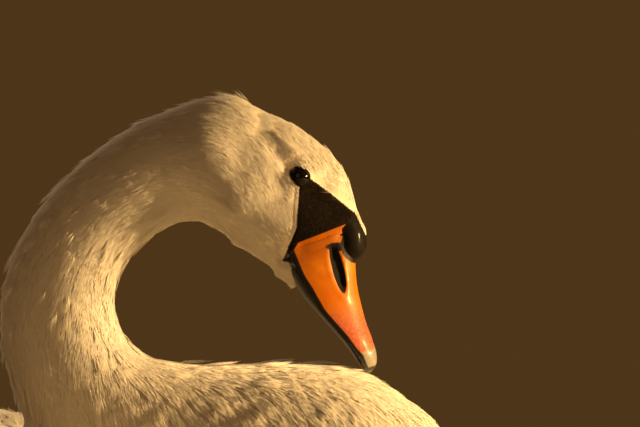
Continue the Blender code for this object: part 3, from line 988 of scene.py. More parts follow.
skin_finish = Finish("skin", roughness=0.85, Specular_IOR_Level=0.04)
skin_tone = skin_finish.noise(skin_finish.place(), 300.0)
skin_finish.feed("Base Color", plumage_colour(skin_finish, skin_tone, skin_tone * 0 + 0.2))
pores = skin_finish.noise(skin_finish.place(), 1500.0, 3.0)
skin_finish.bump(pores, 0.8, 0.0005)

skin_mesh.shade_smooth()
show("skin", skin_mesh, skin_finish, replaces=FLESH)

# %% [markdown]
# The barbs grow slowly from the face to the breast, from 3 to 12 mm. One table gives their spacing and
# size at each distance along the bird. The roots are sown in narrow bands, each a little wider spaced
# than the one before, so no step shows between them.

# %% Sizes of the barbs
BARB_ALONG = (0.00, 0.05, 0.10, 0.16, 0.23, 0.30, 0.37, 0.46)
BARB_SPACING = (0.58, 0.62, 0.70, 0.80, 0.88, 1.00, 1.15, 1.40)  # millimetres, as in the next rows
BARB_LENGTH = (3.2, 5.2, 7.0, 8.0, 8.5, 9.5, 10.5, 12.0)
BARB_WIDTH = (0.36, 0.40, 0.48, 0.58, 0.68, 0.80, 0.95, 1.15)
BARB_LIFT = (0.35, 0.45, 0.7, 1.2, 1.7, 1.5, 1.1, 0.9)
LOCK_SIZE = (2.0, 2.4, 3.2, 4.2, 5.0, 6.0, 7.0, 8.0)
PIECE_LIMIT = 190000


CHIN_FRONT = (0.2965, 0.412)  # a point x, z of the line behind which the chin is feathered
KNOB_BACK, KNOB_UPPER_END = 0.3305, 0.4405  # no barbs grow in front of this x under this z
INTO_BILL = 5.5 * MM


def fine_coat(roots):
    """Feathers grow here: not on the bare patch, not inside the bill and not under the knob."""
    bare = lore_depths(roots.points) > 0.2 * MM
    in_bill = (roots.points - FACE_CENTRE) @ BILL_AXIS > INTO_BILL
    chin = roots.x < CHIN_FRONT[0] + 0.5 * (CHIN_FRONT[1] - roots.z)
    under_knob = (roots.x > KNOB_BACK) & (roots.z < KNOB_UPPER_END)
    return ~(on_face(roots.points) & (bare | under_knob | in_bill & ~chin))


def barb_size(row, roots):
    return np.interp(roots.along, BARB_ALONG, row) * MM


FOREHEAD_EDGE = (((298.5, 462.0), (0.75, 0.66)),)  # in the same form as the edges of the bare patch


def forehead(roots):
    """1 on the smooth forehead and crown and 0 behind the line from the groove over the eye to the bill."""
    past = edge_depths(FOREHEAD_EDGE, roots.x, roots.z)[0]
    return np.clip(past / 0.004, 0, 1) * (roots.x > 0.25)


def sow_graded(start, end):
    """Roots over a stretch of the bird, in bands whose spacing follows the table."""
    stops = np.linspace(start, end, max(2, round((end - start) / 0.02) + 1))
    tables = []
    for low, high in zip(stops, stops[1:]):
        spacing = np.interp((low + high) / 2, BARB_ALONG, BARB_SPACING) * MM
        band = sow(spacing, lambda roots: fine_coat(roots) & (roots.along >= low) & (roots.along < high))
        tables.append(band.table)
    return Roots(np.concatenate(tables))


# %% The coat of the head and neck
for region, start, end in (("head", 0.0, 0.09), ("neck", 0.09, 0.27), ("breast", 0.27, 0.46)):
    roots = sow_graded(start, end)
    parts = math.ceil(roots.count * len(BARB[1]) / PIECE_LIMIT)
    for number in range(parts):
        some = roots.only(np.arange(roots.count) * parts // roots.count == number)
        sizes = [barb_size(row, some) for row in (BARB_LENGTH, BARB_WIDTH, BARB_LIFT, LOCK_SIZE)]
        sizes[2] *= 1 - 0.6 * forehead(some)
        comb(f"down_{region}_{number}", some, *sizes)

# %% Wisps at the back of the crown
CREST_FOOT, CREST_HALF = 0.494, 0.014


def in_crest(roots):
    return (roots.z > CREST_FOOT) & (np.abs(roots.y) < CREST_HALF)


crest = sow(2.2 * MM, in_crest)
comb("down_crest", crest, 6.5 * MM, 0.42 * MM, 1.8 * MM, 3.0 * MM, stray=0.2)

# %% [markdown]
# ## Feathers with vanes
# From the breast back, each feather shows as a vane: a thin leaf on a shaft, rounded on the body and
# long on the wing and tail. The leaf is the same kind of closed blade with four sides: two sharp
# edges, a low ridge for the shaft and a flat underside. A body is curved, so a straight leaf would stand
# off it. Each feather is therefore bent along its own centre line, which is traced over the skin in
# small steps that follow the lie.

# %% Two leaves
BODY_LEAF = make_blade(4, {0.1: 0.42, 0.35: 0.86, 0.62: 1.0, 0.84: 0.82, 0.95: 0.46})
LONG_WIDTHS = {0.05: 0.45, 0.12: 0.66, 0.2: 0.8, 0.3: 0.89, 0.4: 0.95, 0.5: 0.985, 0.6: 1.0}
LONG_WIDTHS.update({0.7: 0.96, 0.78: 0.9, 0.85: 0.8, 0.9: 0.68, 0.94: 0.54, 0.97: 0.36})
LONG_LEAF = make_blade(4, LONG_WIDTHS)
print("triangles in a body feather:", len(BODY_LEAF[1]), "and in a long one:", len(LONG_LEAF[1]))

# %% Centre lines over the skin
VANE_GAP, FLOOR_GAP = 0.5 * MM, 0.6 * MM  # least height of a vane over the skin and over the floor
SKIN_TREE = BVHTree.FromPolygons([tuple(p) for p in net.points], [tuple(t) for t in net.triangles])
FACE_LIES = unit(lie[net.triangles].sum(axis=1))
FACE_WAYS_OUT = unit(net.normals[net.triangles].sum(axis=1))


def trace(roots, length, steps=6):
    """For each root the points and ways out along its centre line, steps + 1 of each."""
    lines = np.empty((roots.count, steps + 1, 3))
    ways_out = np.empty_like(lines)
    lines[:, 0], ways_out[:, 0] = roots.points, roots.normals
    for k in range(roots.count):
        place, course = Vector(roots.points[k]), Vector(roots.lies[k])
        stride = length[k] / steps
        for step in range(steps):
            spot, _, index, _ = SKIN_TREE.find_nearest(place + course * stride)
            course = (course * 0.5 + Vector(FACE_LIES[index]) * 0.5).normalized()
            place = spot
            lines[k, step + 1] = spot
            ways_out[k, step + 1] = FACE_WAYS_OUT[index]
    return lines, ways_out


def on_skin(points):
    """The skin's nearest places to an array of points, and the ways out there."""
    flat = points.reshape(-1, 3)
    found = [SKIN_TREE.find_nearest(point) for point in flat.tolist()]
    spots = np.array([hit[0][:] for hit in found])
    ways_out = FACE_WAYS_OUT[[hit[2] for hit in found]]
    return spots.reshape(points.shape), ways_out.reshape(points.shape)


def along_line(rows, heights):
    """Rows of line points, read at the given shares of the way."""
    steps = rows.shape[1] - 1
    spot = np.clip(heights * steps, 0, steps - 1e-6)
    low = spot.astype(int)
    share = (spot - low)[:, None]
    return rows[:, low] * (1 - share) + rows[:, low + 1] * share


def lay_feathers(name, roots, template, length, width, lift, lines=None, fan=0.06, bank=0.0, rise=0.7):
    """Bends one vane along each root's centre line. Lift is the tip's height over the skin, a smaller
    rise brings it up sooner, and bank raises one edge over the other, as on roof tiles. Vanes whose
    lines are given stand free of the skin."""
    points, faces = template
    across, up, along = points.T
    mood = chance.random(roots.count)
    free = lines is not None
    if not free:
        length = length * (0.88 + 0.24 * chance.random(roots.count))
        lines = trace(roots, length)
    centre, outward = (along_line(rows, along) for rows in lines)
    outward = outward / np.linalg.norm(outward, axis=2, keepdims=True)
    course = np.gradient(lines[0], axis=1) + roots.lies[:, None] * 1e-5
    course = along_line(course / np.linalg.norm(course, axis=2, keepdims=True), along)
    side = np.cross(outward, course)
    side /= np.maximum(np.linalg.norm(side, axis=2, keepdims=True), 1e-6)
    width = np.broadcast_to(width, roots.count) * (0.92 + 0.16 * mood)
    turn = chance.normal(0, fan, roots.count) * length
    sideways = np.multiply.outer(width, across) + turn[:, None] * along**1.3
    lift = np.broadcast_to(lift, roots.count) * (0.95 + 0.1 * chance.random(roots.count))
    risen = lift[:, None] * along**rise + VANE_GAP
    risen = risen + np.multiply.outer(width, 0.022 * np.clip(up, -0.3, 1) - 0.07 * across**2 + bank * across)
    placed = centre + side * sideways[..., None]
    if not free:
        placed, outward = on_skin(placed)
    placed = placed + outward * risen[..., None]
    placed[..., 2] = np.maximum(placed[..., 2], FLOOR_GAP)
    values = {
        "tone": mood[:, None],
        "reach": along,
        "line": (along * np.reshape(length, (-1, 1)) + np.abs(across) * 2 * width[:, None] * 0.6) * 1000,
        "off_shaft": np.abs(across) * 2 * width[:, None] * 1000,
    }
    mesh = joined_mesh(name, placed, faces, patches(roots, across + 0.5, along), values)
    if not free:
        soften(mesh, outward, 0.75)
    print(name, roots.count, "feathers,", len(mesh.polygons), "triangles")
    return show(name, mesh, vane_finish)


# %% [markdown]
# The vane's finish is a warm white that is a little darker at the hidden root. Fine slanting lines are
# its barbs, about one to a millimetre, and a smooth line down the middle is its shaft. They come from
# two attributes that each feather carries, both in millimetres: how far a place is from the shaft, and
# how far along the feather the barb that it lies on leaves the shaft.

# %% Finish of the vanes
VANE_PALE, VANE_WARM = (0.88, 0.83, 0.73), (0.84, 0.77, 0.64)
VANE_STAIN, SHAFT = (0.80, 0.71, 0.56), (0.88, 0.82, 0.68)
BARB_STEP = 0.9  # from one barb of a vane to the next, in millimetres

vane_finish = Finish("vane", roughness=0.55, **SOFTNESS)
vane_tone, vane_reach = vane_finish.attribute("tone"), vane_finish.attribute("reach")
barb_line = (vane_finish.attribute("line") * (2 * math.pi / BARB_STEP)).sine()
shaft = vane_finish.attribute("off_shaft").ramp(0.9, 0.3)
cream = vane_finish.blend(vane_tone, VANE_PALE, VANE_WARM)
cream = vane_finish.blend(vane_reach.ramp(0.05, 0.5), DOWN, cream)
streak = vane_finish.noise(vane_finish.place(), 60.0, 3.0)
cream = vane_finish.blend(streak.ramp(0.45, 0.75) * 0.35, cream, VANE_STAIN)
vane_finish.feed("Base Color", vane_finish.blend(shaft * 0.6, cream, SHAFT))
vane_finish.bump(barb_line * 0.5 * (1 - shaft) + shaft * 1.6, 0.5, 0.00025)

# %% [markdown]
# ## Feathers of the body and wings
# Each root belongs to the solid of the frame that lies nearest to it, so a feather knows whether it grows
# on the body, the wing or the tail. On the wing the coverts grow from 20 mm at the wrist to 56 mm at the
# back. Behind them the long feathers of the folded wing lie side by side over the rump.


# %% Which part a root grows on
def part_tree(names):
    bm = solids(names)
    tree = BVHTree.FromBMesh(bm)
    bm.free()
    return tree


WING_TREE = part_tree(WING_PARTS)
BODY_TREE = part_tree(["trunk", "neck_lower", "tail"])


def on_wing(roots):
    """True for the roots whose nearest solid is a wing."""
    flags = np.zeros(roots.count, bool)
    for k, point in enumerate(roots.points):
        place = Vector(point)
        flags[k] = WING_TREE.find_nearest(place)[3] < BODY_TREE.find_nearest(place)[3]
    return flags


# %% Contour feathers of the body
def area(start, end, low_x=-1.0, high_x=1.0):
    """A stretch of the bird by its distance from the bill, and by x if need be."""

    def wanted(roots):
        on_stretch = (roots.along >= start) & (roots.along < end)
        return on_stretch & (roots.x > low_x) & (roots.x < high_x)

    return wanted


def spread_evenly(roots, distance):
    """Drops roots until no two are nearer than the distance, so that vanes lie in even rows."""
    tree = KDTree(roots.count)
    for k, point in enumerate(roots.points):
        tree.insert(point, k)
    tree.balance()
    kept = np.ones(roots.count, bool)
    for k in range(roots.count):
        if kept[k]:
            for _, other, _ in tree.find_range(roots.points[k], distance):
                kept[other] = other == k
    return roots.only(kept)


def vane_roots(distance, wanted, wing):
    """Evenly spread roots on the wing or off it, over the part of the skin that the test wants."""
    roots = sow(distance * 0.45, wanted)
    return spread_evenly(roots.only(on_wing(roots) == wing), distance)


BODY_ROWS = (
    # name; stretch of the bird; spacing, length and lift in millimetres
    ("contour_throat", 0.41, 0.47, 4.4, 14.0, 0.5),
    ("contour_breast", 0.47, 0.55, 5.6, 18.0, 1.0),
    ("contour_body", 0.55, 0.66, 7.0, 23.0, 1.3),
    ("contour_belly", 0.66, 0.80, 8.5, 29.0, 1.5),
    ("contour_flank", 0.80, 0.95, 10.0, 35.0, 1.5),
    ("contour_rump", 0.95, 1.30, 11.0, 38.0, 1.5),
)
for name, start, end, spacing, longest, lift in BODY_ROWS:
    roots = vane_roots(spacing * MM, area(start, end), wing=False)
    lay_feathers(name, roots, BODY_LEAF, longest * MM, longest * 0.66 * MM, lift * MM)

# %% Coverts of the wings
WING_REAR = -0.290
ON_WINGS = (0.3, 1.3)  # the stretch of the bird that bears the wings

roots = vane_roots(6.0 * MM, area(*ON_WINGS, 0.16, 0.30), wing=True)
lay_feathers("coverts_lesser", roots, BODY_LEAF, 20 * MM, 13.5 * MM, 1.4 * MM)

roots = vane_roots(9.0 * MM, area(*ON_WINGS, -0.03, 0.175), wing=True)
length = np.interp(roots.x, (-0.05, 0.17), (0.056, 0.026))
lay_feathers("coverts_middle", roots, BODY_LEAF, length, length * 0.60, 1.8 * MM)

roots = vane_roots(12.0 * MM, area(*ON_WINGS, -0.31, -0.02), wing=True)
length = np.clip(roots.x - WING_REAR, 0.040, 0.10)
lay_feathers("flight_under", roots, LONG_LEAF, length, 0.030, 1.6 * MM, fan=0.01)

# %% [markdown]
# The long feathers of the folded wing are set out one by one. Each row starts on an arc across the wing,
# from its top to its lower edge, and each feather runs back over the skin to the wing's end. The row of
# great coverts is laid over their roots.


# %% Rows across the wing
def roots_at(spots):
    """Roots on the skin nearest to the given places."""
    nearest = [SKIN_TREE.find_nearest(spot)[2] for spot in spots]
    roots = Roots(SKIN_TABLE[net.triangles[nearest]].mean(axis=1))
    roots.points[:] = spots
    return roots.even_out()


SIDES = (("L", 1), ("R", -1))
WING_HEART = Vector((0.0, 0.084, 0.224))
WING_ROWS = (
    # name; number; x of the row's root, longest, width in metres; lift in millimetres; rise
    ("flight_long", 17, -0.040, 0.25, 0.034, 2.7, 0.25),
    ("coverts_great", 25, 0.015, 0.10, 0.028, 2.8, 0.42),
)
for letter, side in SIDES:
    for row, number, start_x, longest, width, lift, rise in WING_ROWS:
        spots = []
        for k in range(number):
            turn = math.radians(118 - 172 * k / (number - 1))
            slant = 0.08 * k / (number - 1) - 0.045 - 0.012 * (k % 2)
            heart = Vector((start_x + slant, side * WING_HEART.y, WING_HEART.z))
            way = Vector((0, side * math.cos(turn), math.sin(turn)))
            spots.append(SKIN_TREE.ray_cast(heart, way)[0])
        roots = roots_at(spots)
        length = np.minimum(longest, (roots.x - WING_REAR) * 1.04)
        shape = {"fan": 0.004, "bank": 0.05 * side, "rise": rise}
        lay_feathers(f"{row}_{letter}", roots, LONG_LEAF, length, width, lift * MM, **shape)

# %% [markdown]
# A contour feather's edge is not sharp: its barbs part and fray. So the body gets a thin veil of the
# same fine barbs as the neck, laid over the vanes, which hides the edges and takes the coat of the neck
# over into the body with no line between them.

# %% Veil over the body
for name, start, end, spacing in (
    ("veil_throat", 0.44, 0.50, 1.7),
    ("veil_breast", 0.50, 0.60, 2.6),
    ("veil_body", 0.60, 0.80, 3.6),
    ("veil_rear", 0.80, 1.25, 4.4),
):
    roots = sow(spacing * MM, area(start, end))
    roots = roots.only(~on_wing(roots) & (roots.z > 0.006))
    comb(name, roots, 12 * MM, 1.1 * MM, 1.0 * MM, 9 * MM, base=1.2 * MM)

# %% [markdown]
# ## The bill
# The upper bill is a long vault on a flat floor: high and narrow at its root, wide and low at the tip,
# where a hard nail caps it. It could be lofted ring by ring, but a sheet that is rolled into a tube is
# simpler: a grid is made once, and each of its points is moved to its place on the vault, so a table of
# a few sections gives the whole form. Two numbers are kept at each point for the finish: how high it is
# over the mouth's edge, and how far along the bill.

# %% Sections of the bill
UPPER_BILL = (
    # top edge x, z; mouth edge x, z; half width; all in millimetres
    (334.5, 434.0, 297.5, 420.5, 15.5),
    (336.0, 427.5, 298.8, 415.0, 15.5),
    (333.4, 412.0, 302.6, 406.4, 16.3),
    (334.0, 400.0, 308.8, 396.0, 16.4),
    (336.0, 390.0, 315.0, 385.4, 16.0),
    (339.0, 379.0, 323.2, 376.0, 15.7),
    (342.0, 371.0, 330.0, 368.6, 14.9),
    (343.7, 364.6, 336.0, 362.2, 12.3),
)
NAIL = (
    (342.8, 368.4, 333.0, 366.6, 10.0),
    (344.2, 364.0, 335.0, 361.8, 10.6),
    (344.6, 359.0, 337.0, 357.0, 8.6),
    (343.6, 355.4, 338.6, 354.0, 5.6),
    (341.6, 352.9, 340.0, 352.6, 1.6),
)
LOWER_BILL = (
    (298.6, 414.0, 294.5, 410.5, 14.4),
    (303.4, 405.0, 299.6, 402.5, 15.0),
    (309.4, 395.6, 305.4, 393.2, 15.0),
    (316.0, 385.6, 313.2, 384.0, 14.6),
    (324.0, 376.6, 321.4, 374.8, 14.0),
    (330.6, 369.0, 328.2, 366.8, 12.6),
    (336.0, 362.0, 333.6, 359.4, 10.2),
    (339.0, 357.0, 337.0, 354.8, 5.8),
    (340.0, 355.0, 339.2, 353.6, 1.8),
)


def smooth_row(rows, share):
    """A row read from the table at a share of its length, on a smooth curve through the rows."""
    rows = np.array(rows)
    spot = share * (len(rows) - 1)
    low = min(int(spot), len(rows) - 2)
    t = spot - low
    a, b, c, d = (rows[min(max(low + k, 0), len(rows) - 1)] for k in (-1, 0, 1, 2))
    return b + 0.5 * t * (c - a + t * (2 * a - 5 * b + 4 * c - d + t * (3 * (b - c) + d - a)))


def rolled_vault(rows, around, rings, upside_down=False):
    """A closed tube over the sections, with its height over the edge and its run kept at each point."""
    bm = bmesh.new()
    bmesh.ops.create_grid(bm, x_segments=around, y_segments=rings, size=0.5)
    edge_layer = bm.verts.layers.float.new("edge")
    run_layer = bm.verts.layers.float.new("run")
    for vertex in bm.verts:
        turn, run = 2 * math.pi * (vertex.co.x + 0.5), vertex.co.y + 0.5
        top_x, top_z, low_x, low_z, half = smooth_row(rows, run) * MM
        rise = 1 - max(-math.cos(turn), 0.0) if upside_down else max(math.cos(turn), 0.0)
        reach = math.copysign(abs(math.sin(turn)) ** 0.9, math.sin(turn))
        vertex.co = (low_x + (top_x - low_x) * rise, half * reach, low_z + (top_z - low_z) * rise)
        vertex[edge_layer] = rise * math.hypot(top_x - low_x, top_z - low_z)
        vertex[run_layer] = run
    bmesh.ops.remove_doubles(bm, verts=bm.verts, dist=WELD)
    close_holes(bm)
    bmesh.ops.recalc_face_normals(bm, faces=bm.faces)
    return bm


# %% [markdown]
# The nostril is a long slit, open and wet, halfway up each side. Its place is an oval in the upright
# plane. The wall is pressed in inside the oval and raised a little round it, and the finish paints the
# pressed-in part black as painted shade for the depth of the open slit. The root of the bill must lie
# flush on the skin, so the first rings are laid on the skin's own surface.


# %% The nostril's oval
NOSTRIL_MIDDLE, NOSTRIL_HALVES = (323.9, 408.4), (13.6, 3.0)
NOSTRIL_AXIS = Vector((6.7, -26.5)).normalized()


def in_nostril(x, z):
    """Under 1 inside the nostril's oval."""
    away = Vector((x / MM - NOSTRIL_MIDDLE[0], z / MM - NOSTRIL_MIDDLE[1]))
    along, across = away @ NOSTRIL_AXIS, away.x * NOSTRIL_AXIS.y - away.y * NOSTRIL_AXIS.x
    return math.hypot(along / NOSTRIL_HALVES[0], across / NOSTRIL_HALVES[1])


# %% Upper bill with nostrils
def eased(share):
    """0 to 1 with a soft start and end."""
    return share * share * (3 - 2 * share)


def skin_beside(place, side):
    """The skin's place straight inwards from far out on the given side, or None."""
    return SKIN_TREE.ray_cast((place.x, side * 0.1, place.z), (0, -side, 0))[0]


FLUSH_RUN, CLEAR_RUN = 0.20, (0.1, 0.6)  # shares of the bill that hug the skin and stay outside it
OFF_MIDDLE = 3 * MM  # points nearer to the bird's middle plane than this stay where they are
CLEARANCE = 0.3 * MM
NOSTRIL_DEPTH, NOSTRIL_RIM = 2.4, 0.35  # millimetres that the wall is pressed in and raised

bm = rolled_vault(UPPER_BILL, 96, 120)
nostril_layer = bm.verts.layers.float.new("nostril")
run_layer = bm.verts.layers.float["run"]
for vertex in bm.verts:
    side, run = math.copysign(1, vertex.co.y), vertex[run_layer]
    if run < FLUSH_RUN and abs(vertex.co.y) > OFF_MIDDLE:
        spot = skin_beside(vertex.co, side)
        if spot:
            flush = spot.y + side * (-0.5 * MM if run < 0.02 else 0.25 * MM)
            vertex.co.y += (flush - vertex.co.y) * eased(1 - run / FLUSH_RUN)
    if CLEAR_RUN[0] < run < CLEAR_RUN[1] and abs(vertex.co.y) > OFF_MIDDLE:
        spot = skin_beside(vertex.co, side)
        if spot and abs(vertex.co.y) < abs(spot.y) + CLEARANCE:
            vertex.co.y = spot.y + side * CLEARANCE
    away = in_nostril(vertex.co.x, vertex.co.z)
    vertex[nostril_layer] = min(away, 3.0)
    if abs(vertex.co.y) > OFF_MIDDLE:
        inside = eased(min(max((1.08 - away) / 0.5, 0.0), 1.0))
        rim = math.exp(-(((away - 1.25) / 0.22) ** 2))
        vertex.co.y -= side * (NOSTRIL_DEPTH * inside - NOSTRIL_RIM * rim) * MM
upper_bill_mesh = mesh_of(bm, "upper_bill")

# %% [markdown]
# The upper bill is orange and turns to a pinkish red near the tip; towards its root the orange is darkened
# as painted shade. Its edge is black, and so is the bare skin behind it; the nostril is painted black as
# painted shade for the depth of the open slit. The horn is polished and often wet, so the finish has a
# clear coat over a finely pitted ground.

# %% Finish of the upper bill
DEEP_ORANGE, CLEAR_ORANGE = (0.58, 0.145, 0.001), (0.66, 0.210, 0.001)
DEEP_PINK, PALE_PINK = (0.52, 0.100, 0.045), (0.58, 0.17, 0.09)
# SHADED_ORANGE below is painted shade: the bill's orange as it looks where its root lies in shade
SHADED_ORANGE, BILL_END = (0.32, 0.080, 0.001), (0.42, 0.34, 0.27)
KNOB_FOOT, KNOB_FOOT_HALVES = (332.0, 421.0), (6.8, 10.2)  # black oval x, z under the knob
BRIDGE = (325.0, 419.4)  # black strip from the knob to the cheek

bill_finish = Finish("bill_orange", roughness=0.4, Coat_Roughness=0.2, Specular_IOR_Level=0.2)
place = bill_finish.place()
edge, run = bill_finish.attribute("edge"), bill_finish.attribute("run")
cloud = bill_finish.noise(place, 90.0, 4.0)
fine = bill_finish.noise(place, 700.0, 3.0)
orange = bill_finish.blend(cloud.ramp(0.3, 0.7), DEEP_ORANGE, CLEAR_ORANGE)
pink = bill_finish.blend(fine.ramp(0.35, 0.65), DEEP_PINK, PALE_PINK)
# painted shade: the orange darkens towards the bill's root
orange = bill_finish.blend((run + cloud * 0.3).ramp(0.55, 0.20) * 0.85, orange, SHADED_ORANGE)
horn = bill_finish.blend((run + cloud * 0.12).ramp(0.56, 0.80), orange, pink)
horn = bill_finish.blend((run + cloud * 0.04).ramp(0.965, 1.01) * 0.8, horn, BILL_END)
uneven = (cloud - 0.5) * 1.2 * MM
x, _, z = bill_finish.axes(place)
skin_line = behind_orange(x, z, Sum.higher) + uneven * 0.5
black_edge = (edge + uneven + run.ramp(0.75, 0.95) * 1.4 * MM).ramp(2.8 * MM, 2.2 * MM)
knob_x = (x - KNOB_FOOT[0] * MM) * (1 / KNOB_FOOT_HALVES[0])
knob_z = (z - KNOB_FOOT[1] * MM) * (1 / KNOB_FOOT_HALVES[1])
round_knob = (knob_x * knob_x + knob_z * knob_z).root() + uneven * 0.5
bridge_x, bridge_z = x - BRIDGE[0] * MM, z - BRIDGE[1] * MM
bridge = (bridge_x * bridge_x * 0.10 + bridge_z * bridge_z).root() + uneven
joined = round_knob.ramp(1.04 * MM, 0.96 * MM).higher(bridge.ramp(2.6 * MM, 1.9 * MM))
# painted shade: inside the nostril's oval the wall is painted black for the depth of the open slit
slit = (bill_finish.attribute("nostril") + uneven * 60).ramp(1.10, 0.98)
# black edge, bare skin and knob foot are the bill's own black; the nostril's black is painted shade
dark = black_edge.higher(skin_line.ramp(-0.0003, 0.0003)).higher(slit).higher(joined)
bill_finish.feed("Base Color", bill_finish.blend(dark, horn, SKIN_BLACK))
bill_finish.feed("Roughness", 0.32 + 0.25 * fine + 0.4 * slit + 0.1 * black_edge)
bill_finish.feed("Coat Weight", 0.10 * (1 - slit))
bill_finish.bump(fine * 0.7 + bill_finish.noise(place, 2400.0) * 0.3, 0.35, 0.0003)
upper_bill_mesh.shade_smooth()
show("upper_bill", upper_bill_mesh, bill_finish, ["bill_upper"])

# %% Nail and lower bill
NAIL_DULL, NAIL_PALE, MOUTH_LINE = (0.24, 0.22, 0.19), (0.38, 0.35, 0.29), (0.30, 0.22, 0.15)

nail_finish = Finish("nail_horn", roughness=0.35, Coat_Weight=0.3, Coat_Roughness=0.15)
edge, run = nail_finish.attribute("edge"), nail_finish.attribute("run")
grain = nail_finish.noise(nail_finish.stretched(nail_finish.place(), (0.6, 0.6, 3.0)), 900.0, 3.0)
pale = nail_finish.blend(grain, NAIL_DULL, NAIL_PALE)
rim = edge.ramp(2.6 * MM, 2.0 * MM).higher(run.ramp(0.60, 0.70))
nail_finish.feed("Base Color", nail_finish.blend(rim, pale, SKIN_BLACK))
nail_finish.bump(grain, 0.3, 0.0003)

gloss = {"Coat_Weight": 0.1, "Coat_Roughness": 0.2, "Specular_IOR_Level": 0.25}
dark_finish = Finish("bill_black", roughness=0.3, **gloss)
grain = dark_finish.noise(dark_finish.place(), 600.0, 4.0)
pale_line = dark_finish.attribute("edge").ramp(1.6 * MM, 0.6 * MM) * grain.ramp(0.4, 0.6)
dark_finish.feed("Base Color", dark_finish.blend(pale_line * 0.25, SKIN_BLACK, MOUTH_LINE))
dark_finish.feed("Roughness", 0.25 + 0.25 * grain)
dark_finish.bump(grain, 0.4, 0.0003)

for name, rows, upside_down, finish, slot, node in (
    ("nail", NAIL, False, nail_finish, "bill_nail", "bill_nail"),
    ("lower_bill", LOWER_BILL, True, dark_finish, "black_bill", "bill_lower"),
):
    mesh = mesh_of(rolled_vault(rows, 48, 60, upside_down), name)
    mesh.shade_smooth()
    show(name, mesh, finish, [node])

# %% [markdown]
# ## The knob
# Over the root of the bill sits a soft black knob of the same bare skin as the patch before the eye, and
# the patch runs up into it as one fleshy ridge. Several ovals are remeshed into one form and smoothed,
# so they flow together.

# %% Knob
WEDGE_END = 0.4245  # the height at which the forehead's white wedge ends
KNOB_OVALS = (
    # middle x, y, z and the three radii, in millimetres
    ((330.6, 0.0, 420.6), (8.6, 11.0, 8.9)),
    ((330.0, 0.0, 425.4), (8.6, 11.0, 9.5)),
    ((328.0, 0.0, 430.2), (8.4, 10.6, 9.5)),
    ((325.0, 0.0, 435.0), (8.2, 9.8, 9.0)),
    ((322.0, 4.5, 434.0), (9.0, 8.0, 9.0)),
    ((322.0, -4.5, 434.0), (9.0, 8.0, 9.0)),
)
bm = bmesh.new()
for middle, radii in KNOB_OVALS:
    ball = bmesh.ops.create_icosphere(bm, subdivisions=4, radius=1.0)["verts"]
    bmesh.ops.scale(bm, vec=Vector(radii) * MM, verts=ball)
    bmesh.ops.translate(bm, vec=Vector(middle) * MM, verts=ball)
knob_mesh = remeshed(mesh_of(bm, "knob_ovals"), 0.9 * MM)
knob_net = Net(knob_mesh)
knob_net.relax(30, 0.5)
knob_net.renew_normals()
knob_net.push(0.5 * MM)
knob_net.write()
knob_mesh.shade_smooth()
print("knob:", knob_net.size, "points")

# %% Finish of the knob
KNOB_BLACK, KNOB_BROWN = (0.004, 0.003, 0.002), (0.011, 0.008, 0.005)
gloss = {"Coat_Weight": 0.10, "Coat_Roughness": 0.14, "Specular_IOR_Level": 0.06}
knob_finish = Finish("knob_skin", roughness=0.5, **gloss)
place = knob_finish.place()
pits = knob_finish.noise(place, 1300.0, 3.0)
folds = knob_finish.noise(place, 260.0, 3.0)
x, _, z = knob_finish.axes(place)
black = knob_finish.blend(pits, KNOB_BLACK, KNOB_BROWN)
feathered = -1 * edge_depths(LORE_EDGES[2:3], x, z)[0]
feathered = feathered.ramp(0.0, 0.0006) * z.ramp(WEDGE_END, WEDGE_END + 0.002)
knob_finish.feed("Base Color", knob_finish.blend(feathered, black, DOWN))
knob_finish.feed("Roughness", 0.45 + 0.3 * folds)
knob_finish.bump(pits * 0.5 + folds * 0.5, 0.7, 0.0005)
show("knob", knob_mesh, knob_finish, ["bill_knob"])

# %% [markdown]
# The forehead's feathers run down over the top of the knob as a narrow white wedge. Their roots are the
# knob's own points and face middles in front of the patch's edge, and they point up to the forehead.

# %% White wedge on the knob
spots = np.concatenate([knob_net.points, knob_net.points[knob_net.triangles].mean(axis=1)])
ways_out = np.concatenate([knob_net.normals, knob_net.face_normals])
in_wedge = -edge_depths(LORE_EDGES[2:3], spots[:, 0], spots[:, 2])[0] > 0.1 * MM
in_wedge &= spots[:, 2] > WEDGE_END
spots, ways_out = spots[in_wedge], ways_out[in_wedge]
lies = -BILL_AXIS - ways_out * (ways_out @ -BILL_AXIS)[:, None]
nearest = [SKIN_TREE.find_nearest(spot)[2] for spot in spots.tolist()]
rest = SKIN_TABLE[net.triangles[nearest, 0], 9:]
wedge = Roots(np.column_stack([spots, ways_out, unit(lies), rest]))
comb("down_wedge", wedge, 3.4 * MM, 0.42 * MM, 0.35 * MM, 2.0 * MM)

# %% [markdown]
# ## The eyes
# A swan's eye is small and dark brown, and its lids are thin rims of black skin that close round it as
# an almond. The ball sits a little deeper than the frame's solid, because the lids lie over it. Each lid
# is a piece of a slightly larger sphere, cut by a plane through the line from corner to corner.

# %% Finishes of eyeballs and lids
BALL_RADIUS, LID_RADIUS, LID_THICKNESS = 5.9 * MM, 6.25 * MM, 0.6 * MM
LID_OPENING = math.radians(40)
BROW_WAY = Vector((-EYE_TILT[1], 0.0, EYE_TILT[0])).normalized()
PUPIL, IRIS_END = (2.1, 2.5), (4.0, 4.8)  # where each edge starts and ends, in millimetres
IRIS_DARK, IRIS_BROWN = (0.004, 0.002, 0.001), (0.010, 0.005, 0.002)
PUPIL_BLACK, EYE_BLACK = (0.002, 0.002, 0.002), (0.004, 0.003, 0.003)
# the pale colour below is a painted highlight: the lower lid's edge as it catches the light
LID_RIM_HIGHLIGHT = (0.42, 0.32, 0.22)

